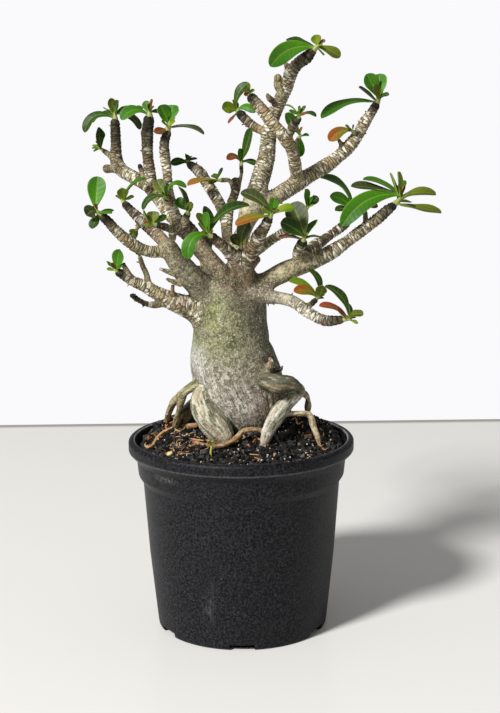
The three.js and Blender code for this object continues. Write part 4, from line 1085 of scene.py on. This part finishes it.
# Leaf: glossy above with a pale rib and faint side veins, greyer below, with a thin warm margin.
def makeLeafFinish():
    leaf = Finish("leafSkin", IOR=1.3)
    blade = leaf.spots(of=leaf.mark("blade", "Vector"))
    rib, tall, under = leaf.mark("rib").absolute(), leaf.mark("tall"), leaf.mark("under")
    tint = leaf.mark("tint", "Color")
    blotch, fine = leaf.noise(blade, 3.2, 3), leaf.noise(blade, 0.8)
    run, = leaf.axes(blade, "Y")
    veins = (run * 2.6 - rib * 5.2).sine()
    colour = leaf.layer(
        tint,
        ((blotch - 0.5) * 0.9 + 0.35, leaf.mix(0.5, tint, "#243f1a")),
        (veins.step(0.75, 1.0) * 0.12, "#6f9030"),
        ((1 - rib.step(0.03, 0.14)) * (1 - tall * 0.6) * 0.5, "#86a045"),
        (rib.step(0.88, 0.99) * 0.45, "#9aa055"),
        (under * 0.55, leaf.mix(0.5, tint, "#8b9670")),
        ((1 - tall.step(0.0, 0.16)) * 0.6, "#a3b268"))
    return leaf.set(Base_Color=colour, Roughness=0.38 + blotch * 0.16 + under * 0.2,
                    Normal=leaf.bump(veins * 0.4 + fine * 0.6, 0.12, 0.35))


leafFinish = makeLeafFinish()
for number, name in enumerate(leafSprays):
    settle(makeSpray(name, number), leafFinish, "leaf", "leaves_" + name)


# The soil: a dark bed under bark chips, pale grit, fibres and loose rootlets.
soil = {
    "level": 89, "radius": 49.4, "rings": 44, "sectors": 120, "clod": 0.55, "sunk": 0.4,
    "skirt": [(48.2, 84), (48, 77.6), (46, 73.6), (40, 2)],  # radius and height down the wall
    "chips": 2500, "chipArea": 48.4, "chipLong": (1.1, 4.2), "chipRise": (-0.5, 0.75),
    "chipShape": ((0.3, 0.7), (0.18, 0.5)),  # width and thickness over length
    "chipTint": (0.7, 1.35), "chipRough": 0.34, "chipFlat": 0.55,
    "grains": 560, "grainArea": 47.5, "grainSize": (0.22, 0.6), "seenSize": (0.5, 0.8),
    "grainLift": (-0.1, 0.7), "seenLift": 0.8, "grainShape": (0.7, 1.1), "grainRough": 0.12,
    "grainTones": ("#b9a88c", "#e4e0d8"),
    "pebble": (-33.8, -22.1, 1.9), "pebbleTone": "#d9c78f",  # x, y and radius, cream
    "rimRoot": (0.85, "#cfa268"), "rootletWide": 0.5, "rootletLift": 0.9,
    "fibres": 70, "fibreArea": 46, "fibreWide": (0.16, 0.36), "fibreStep": 2.1, "fibreBend": 0.7,
    "fibreLift": (0.1, 1.1), "fibreLeft": (-30, 8, 14),  # middle x of those at the left, spreads
    "fibreTones": ("#b06f3c", "#b89668", "#7c5432", "#c2ae88"),
}
heaps = [(0, 12, 9, 26), (-32, 22, 6, 11), (31, 14, 8, 11)]  # centre x, y, rise, spread
chipTones = [("#050404", 0.62), ("#100d0a", 0.2), ("#241913", 0.09), ("#55381f", 0.03),
             ("#5d5850", 0.03), ("#b39a74", 0.03)]  # with the share of each
seenChips = [((32.6, -3.5, 95.2), (2.0, 1.4, 0.8), "#6b4a30"),  # brown
             ((18.3, -9.6, 94.9), (2.6, 2.0, 0.5), "#5c554c")]  # grey
boxFaces = np.array([(0, 2, 1), (1, 2, 3), (4, 5, 6), (5, 7, 6), (0, 1, 4), (1, 5, 4),
                     (2, 6, 3), (3, 6, 7), (0, 4, 2), (2, 4, 6), (1, 3, 5), (3, 7, 5)])
seedling = {
    "shoot": [(-14.1, -27.0, 90.5, 0.5), (-14.2, -26.6, 93.4, 0.55), (-13.9, -26.2, 96, 0.45),
              (-13.6, -26, 97.4, 0.25)],
    "tone": "#b5ad4c", "top": (-14.0, -26.3, 96.5), "leafWide": 1.4,
    "leaves": [((1.9, -0.8, 2.2), 71), ((-1.3, -0.6, 2.6), 72), ((0.4, 0.8, 2.8), 73)],
}
rootlets = {  # laid on the soil where the eye sees them
    "rimLeft": [(-46.6, -6.5, 90.6), (-44.9, -9.2, 90.7), (-42.9, -7, 91), (-42.2, -1.5, 91.5),
        (-40.6, 4.5, 92.6), (-38.2, 8.4, 94), (-35.2, 9.6, 94.9), (-31, 14.6, 97.4)],
    "rimLeftSide": [(-45.4, -8.8, 90.7), (-46.9, -4, 90.8), (-46.4, -1.5, 91)],
    "upLeft": [(-36.5, 8.6, 94.4), (-37.6, 14, 96.2), (-36.4, 19, 97.8)],
    "fallLeft": [(-34, -9, 91.7), (-32.6, -13, 91.4), (-32, -18, 91), (-31, -22, 90.8)],
    "left": [(-25.9, -16.5, 92), (-23.1, -13.6, 92.7), (-17.3, -13, 93.5)],
    "middle": [(0, -1.5, 96.9), (1.9, -10.4, 95.2), (3.8, -17.7, 93.6)],
    "curl": [(5.8, -14.5, 94.2), (7.7, -10.1, 95.1), (10.1, -13, 94.3), (11, -17.1, 93.4)],
    "stickShort": [(3.8, -27.5, 91.8), (9.9, -28.3, 91.5)],
    "stickLow": [(6.2, -30.8, 91.2), (9.9, -34.2, 90.7)],
    "squiggle": [(24.6, 6.2, 99.9), (26.6, 7.7, 100.5), (28, 3.3, 98.6), (30.5, 5.1, 99.1),
        (29.8, 0.9, 97.1)],
    "underFoot": [(-17, -8.5, 94.4), (-13.5, -11.8, 94.2), (-9.2, -11.6, 94.6),
        (-2.4, -14.5, 94.3)],
    "orangeNear": [(-24.9, -4.6, 93.9), (-19.9, -8.8, 93.9), (-14, -11.6, 94.1)],
    "orangeFar": [(-37.4, 12.2, 95.8), (-34.5, 14.3, 97.3), (-30.9, 11.9, 97.3),
        (-28.5, 14.1, 98.3), (-26.3, 9.1, 97)],
    "orangeMid": [(-37.7, 8.7, 94.6), (-34.3, 8.8, 95.6), (-30.1, 4.6, 95.1), (-27.3, 7.5, 96.4)],
    "orangeTop": [(-36.8, 19.8, 97.5), (-33, 13.5, 97.5), (-30.6, 16.7, 98.7), (-27.5, 13, 98.1)],
    "clawInner": [(10.2, -6.6, 95.7), (12.1, -10.6, 94.7), (12.9, -16.9, 93.3)],
    "clawOuter": [(8.2, -11.1, 94.8), (11.1, -12.9, 94.3)],
    "twigRight": [(39.3, -6.2, 92.3), (41.6, -8.5, 91.4)],
    "pale": [(1.9, -15.6, 94.1), (4.8, -19.8, 93.2)],
}
seenGrains = [  # x and y of the brightest
    (-43.2, -15.1), (-28.1, 3), (-26.5, 0.5), (20.7, -32.1), (23.1, -29.3), (27.6, -7),
    (27.9, -12.7), (28.2, -19.5), (29.6, -19.2), (30.9, -22.8), (31.7, -25.3), (9.9, -34.2),
    (-40.8, 0.9), (-19.4, -24.1), (12.7, -34.1), (-27.3, -27.6), (-30.6, -29.7), (28.3, -2.2),
]


# Height of the soil: its level and a bell-shaped rise for each heap.
def soilHeight(x, y):
    height = np.full(np.shape(x), float(soil["level"]))
    for hx, hy, rise, spread in heaps:
        height += rise * np.exp(-((x - hx)**2 + (y - hy)**2) / (2 * spread**2))
    return height


# The bed: rings of points over the heaps, roughened by crossed waves, then down the pot's wall.
def makeBed():
    count = soil["sectors"]
    turn = np.arange(count) / count * 2 * np.pi
    inner = soil["radius"] * np.linspace(0.01, 1, soil["rings"])
    x, y = polar(inner[:, None], turn)
    spots = np.stack([x, y, 0 * x], -1).reshape(-1, 3)
    clods = (waves(spots, 1.7, 2.0) + 0.7 * waves(spots, 0.8, 5.0)).reshape(x.shape)
    top = np.stack([x, y, soilHeight(x, y) - soil["sunk"] + soil["clod"] * clods], -1)
    skirt = np.array(soil["skirt"])
    wall = np.stack([*polar(skirt[:, :1], turn), np.repeat(skirt[:, 1:], count, 1)], -1)
    middles = [[0, 0, top[0, :, 2].mean()], [0, 0, skirt[-1, 1]]]
    points = np.vstack([top.reshape(-1, 3), wall.reshape(-1, 3), middles])
    return addPiece("soilBed", points, *skinFaces(len(inner) + len(skirt), count, flip=True))


# A random turn for each shape: the matrix of a random unit quaternion. Where `flat` is below 1,
# the shapes lie flatter.
def randomTurns(dice, count, flat=1.0):
    q = dice.normal(size=(count, 4))
    q[:, 1:3] *= flat
    w, x, y, z = unit(q).T
    return np.stack([
        np.stack([1 - 2 * (y * y + z * z), 2 * (x * y - z * w), 2 * (x * z + y * w)], -1),
        np.stack([2 * (x * y + z * w), 1 - 2 * (x * x + z * z), 2 * (y * z - x * w)], -1),
        np.stack([2 * (x * z - y * w), 2 * (y * z + x * w), 1 - 2 * (x * x + y * y)], -1)], 1)


# Scatters copies of a small closed shape over the soil. Each copy is stretched, roughened at its
# corners, turned and set down with its own tone.
def scatter(name, shape, faces, places, sizes, turns, tones, dice, rough):
    bumps = 1 + rough * dice.uniform(-1, 1, (len(places), len(shape), 3))
    points = np.einsum("nij,nkj->nki", turns, shape[None] * sizes[:, None] * bumps)
    steps = (np.arange(len(places)) * len(shape))[:, None, None]
    return addPiece(name, (points + places[:, None]).reshape(-1, 3),
                    tris=(faces + steps).reshape(-1, 3),
                    marks={"tint": np.repeat(tones, len(shape), 0)}, smooth=False)


def makeChips():
    dice = np.random.default_rng(11)
    count = soil["chips"]
    x, y = strewn(dice, soil["chipArea"], count)
    places = np.stack([x, y, soilHeight(x, y) + dice.uniform(*soil["chipRise"], count)], 1)
    least, most = soil["chipLong"]
    long = dice.uniform(0, 1, count) ** 1.8 * (most - least) + least
    wide, thin = (long * dice.uniform(*span, count) for span in soil["chipShape"])
    sizes = np.stack([long, wide, thin], 1) / 2
    pick = dice.choice(len(chipTones), count, p=[share for _, share in chipTones])
    sizes *= np.where(pick > 2, 0.55, 1)[:, None]  # the light chips are the small ones
    tones = np.array([paint(code) for code, _ in chipTones])[pick]
    tones = tones * dice.uniform(*soil["chipTint"], (count, 1))
    for i, (place, size, tone) in enumerate(seenChips):
        places[i], sizes[i], tones[i] = place, size, paint(tone)
    corners = np.array([(i, j, k) for i in (-1, 1) for j in (-1, 1) for k in (-1, 1)], float)
    turns = randomTurns(dice, count, soil["chipFlat"])
    return scatter("barkChips", corners, boxFaces, places, sizes, turns, tones, dice,
                   soil["chipRough"])


# Grit: the corners of an icosahedron, which lie a golden ratio apart, stretched at random.
def makeGrit():
    dice = np.random.default_rng(12)
    count, seen = soil["grains"], len(seenGrains)
    gold = (1 + 5**0.5) / 2
    ball = unit(np.array([np.roll((s, t * gold, 0), k)
                          for k in range(3) for s in (-1, 1) for t in (-1, 1)]))
    near = np.linalg.norm(ball[:, None] - ball, axis=2) < 1.1
    faces = [(i, j, k) for i in range(12) for j in range(i + 1, 12) for k in range(j + 1, 12)
             if near[i, j] and near[j, k] and near[i, k]]
    faces = np.array([(i, j, k) if np.linalg.det(ball[[i, j, k]]) > 0 else (i, k, j)
                      for i, j, k in faces])
    x, y = strewn(dice, soil["grainArea"], count)
    x[:seen], y[:seen] = np.array(seenGrains).T
    size = dice.uniform(*soil["grainSize"], count)
    size[:seen] = dice.uniform(*soil["seenSize"], seen)
    x[seen], y[seen], size[seen] = soil["pebble"]
    pale = dice.uniform(0, 1, (count, 1))
    brown, white = (np.array(paint(code)) for code in soil["grainTones"])
    tones = brown * (1 - pale) + white * pale
    tones[seen] = paint(soil["pebbleTone"])
    lift = dice.uniform(*soil["grainLift"], count)
    lift[:seen + 1] = soil["seenLift"]
    places = np.stack([x, y, soilHeight(x, y) + lift], 1)
    sizes = size[:, None] * dice.uniform(*soil["grainShape"], (count, 3))
    return scatter("grit", ball, faces, places, sizes, randomTurns(dice, count), tones, dice,
                   soil["grainRough"])


# Fibres: the rootlets placed by name, and thin tubes that wander over the soil. Every second one
# lies to the left, where most of them are seen.
def makeFibres():
    dice = np.random.default_rng(13)
    shapes, shades = [], soil["fibreTones"]
    for i, (name, line) in enumerate(rootlets.items()):
        wide, shade = soil["rimRoot"] if name == "rimLeft" else (soil["rootletWide"], shades[i % 2])
        radii = [0.6 * wide] + [wide] * (len(line) - 2) + [0.6 * wide]
        line = [(x, y, z + soil["rootletLift"], radius) for (x, y, z), radius in zip(line, radii)]
        shapes.append(tube(line, 0.8, 6, shade))
    for i in range(soil["fibres"]):
        x, y = strewn(dice, soil["fibreArea"], least=0.05)
        if i % 2:
            middle, across, away = soil["fibreLeft"]
            x, y = middle + dice.normal() * across, dice.normal() * away
        heading, line = dice.uniform(0, 2 * np.pi), []
        for _ in range(dice.integers(4, 7)):
            if x * x + y * y > soil["fibreArea"]**2:
                break
            line.append((x, y, float(soilHeight(x, y)) + dice.uniform(*soil["fibreLift"]),
                         dice.uniform(*soil["fibreWide"])))
            heading += dice.normal() * soil["fibreBend"]
            x += soil["fibreStep"] * math.cos(heading)
            y += soil["fibreStep"] * math.sin(heading)
        if len(line) > 2:
            shapes.append(tube(line, 1.0, 5, shades[dice.integers(4)]))
    return addPiece("fibres", *gather(shapes))


# The seedling at the front left: a yellow-green shoot with three small leaves at its top.
def makeSeedling():
    shapes = [tube(seedling["shoot"], 0.6, 8, seedling["tone"])]
    for reach, seed in seedling["leaves"]:
        points, quads, tris, marks = leafShape(np.array(seedling["top"]), np.array(reach),
                                               seedling["leafWide"], 0.3, 20, "olive", seed, 10)
        shapes.append((points, quads, tris, {"tint": marks["tint"]}))
    return addPiece("seedling", *gather(shapes))


# Humus: near black, with brown crumbs.
def makeHumus():
    humus = Finish("humus")
    crumb = humus.noise(humus.spots(), 1.1, 4, 0.65)
    return humus.set(Base_Color=humus.mix(crumb.step(0.5, 0.72), "#0a0807", "#2c1f16"),
                     Roughness=0.72 + crumb * 0.25, Normal=humus.bump(crumb, 0.6, 0.8))


# The loose things take their own tone, a little mottled with a shade.
def makeLoose(name, shade, amount, rough):
    loose = Finish(name)
    mottle = loose.noise(loose.spots(), 0.9, 3, 0.6)
    colour = loose.mix(mottle.step(0.35, 0.7) * amount, loose.mark("tint", "Color"), shade)
    return loose.set(Base_Color=colour, Roughness=rough + mottle * 0.2,
                     Normal=loose.bump(mottle, 0.15, 0.6))


settle(makeBed(), makeHumus(), "soil", "soil")
for make, slot, *looks in ((makeChips, "soil", "chipBark", "#0d0a08", 0.6, 0.5),
                           (makeGrit, "soil", "grainStone", "#8f8878", 0.4, 0.4),
                           (makeFibres, "bark", "rootFibre", "#6e4627", 0.5, 0.55),
                           (makeSeedling, "leaf", "shootSkin", "#8fa03a", 0.3, 0.35)):
    settle(make(), makeLoose(*looks), slot)


# The pot: a turned shell with a rolled rim, a stepped collar and drainage notches at its foot.
pot = {
    "outline": [(0, 0), (36.6, 0), (36.8, 0), (40.7, 0), (41.7, 1), (41.98, 3.1), (45.5, 37.5),
                (48.1, 73.6), (50.3, 77), (51.1, 85), (55, 89), (55, 93.3), (54, 94.5),
                (52, 94.5), (51.4, 92.5), (50.6, 89), (49.7, 84.5), (49.1, 77.5), (46.9, 74),
                (40.9, 5), (40.6, 1.6), (36.8, 1.6), (36.6, 1.6), (0, 1.6)],
    "rounding": 0.6, "sectors": 180, "footRadius": 41.7,
    "notches": 6, "notchWidth": 12, "notchHeight": 3, "notchReach": 36.7,
    "notchRoof": 1.2, "notchEdge": 0.12,  # thickness over a notch, and half its edge in degrees
}


# The outline with each corner rounded: a short parabola from a point before it to one after it.
def roundedOutline(outline, rounding):
    spots = np.array(outline, float)
    smooth = [spots[:1]]
    t = np.linspace(0, 1, 5)[:, None]
    for before, corner, after in zip(spots[:-2], spots[1:-1], spots[2:]):
        first, second = before - corner, after - corner
        for arm in (first, second):
            arm *= min(rounding, 0.42 * np.linalg.norm(arm)) / np.linalg.norm(arm)
        smooth.append(corner + (1 - t)**2 * first + t**2 * second)
    return np.vstack(smooth + [spots[-1:]])


# The outline carried round an axis. Its foot is raised inside each notch, and the floor with it.
def makePot():
    outline = roundedOutline(pot["outline"], pot["rounding"])
    r, z = outline[1:-1].T
    apart, sectors = 360 / pot["notches"], pot["sectors"]
    half = math.degrees(math.asin(pot["notchWidth"] / 2 / pot["footRadius"]))
    edges = [-90 + apart * i + sign * half + nudge for i in range(pot["notches"])
             for sign in (-1, 1) for nudge in (-pot["notchEdge"], pot["notchEdge"])]
    angles = np.unique(np.concatenate([np.arange(sectors) * 360 / sectors, np.mod(edges, 360)]))
    turn = np.radians(angles)
    notched = np.abs(np.mod(angles + 90 + apart / 2, apart) - apart / 2) < half
    deep = (r > pot["notchReach"])[:, None]
    raised = pot["notchHeight"] + np.where(np.arange(len(r)) < np.argmax(z), 0, pot["notchRoof"])
    height = np.where(notched & deep, np.maximum(z, raised)[:, None], z[:, None])
    points = np.stack([*polar(r[:, None], turn), height], -1).reshape(-1, 3)
    points = np.vstack([points, [[0, 0, 0], [0, 0, outline[-1, 1]]]])
    return addPiece("potShell", points, *skinFaces(len(r), len(turn)))


# Black plastic: a fine moulded grain, a little dust low down, scuffs, and dried lime at the front.
# Painted highlights run round the rim's top and its lower lip.
def makePlastic():
    plastic = Finish("blackPlastic", IOR=1.24)
    spots = plastic.spots()
    grain = plastic.noise(spots, 1.0, 3, 0.75)
    film = plastic.noise(spots, 14, 4, 0.6)
    fleck = plastic.noise(spots, 0.9, 1)
    runs = plastic.noise(plastic.spots((1, 1, 0.16)), 1.6, 3, 0.6)
    x, y, z = plastic.axes(spots, "XYZ")
    front, some = y.step(-20, -30), fleck.step(0.4, 0.6)
    lime = x.close(-15.3, 4.5, 0.6) * z.close(24, 14, 4) * front
    # Painted highlights: a bright line round the rim's top, and a fainter one round its lower lip.
    rim = z.step(93.6, 94.2) * ((x * x + y * y) ** 0.5).close(52, 0.7, 0.15)
    rimHighlights = rim + z.close(89, 0.7, 0.1) * 0.25
    scuff = x.close(-35.5, 7, 2) * z.close(83, 2.2, 0.4) * front
    colour = plastic.layer(
        plastic.mix(grain.step(0.44, 0.6), "#020203", "#29292e"),
        (film.step(0.4, 0.7) * 0.4, "#19191a"),
        (fleck.step(0.7, 0.78) * 0.25, "#6f6f6e"),
        (lime * runs.step(0.44, 0.66) * 0.11, "#a09f9a"),
        # Painted highlights on the rim.
        (rimHighlights * (0.5 + some * 0.5), "#8c8c90"),
        (scuff * some * 0.22, "#8b8b88"))
    return plastic.set(Base_Color=colour, Roughness=0.36 + film * 0.14 + z.step(60, 0) * 0.1,
                       Normal=plastic.bump(grain, 0.25, 0.8))


settle(makePot(), makePlastic(), "pot", "pot")
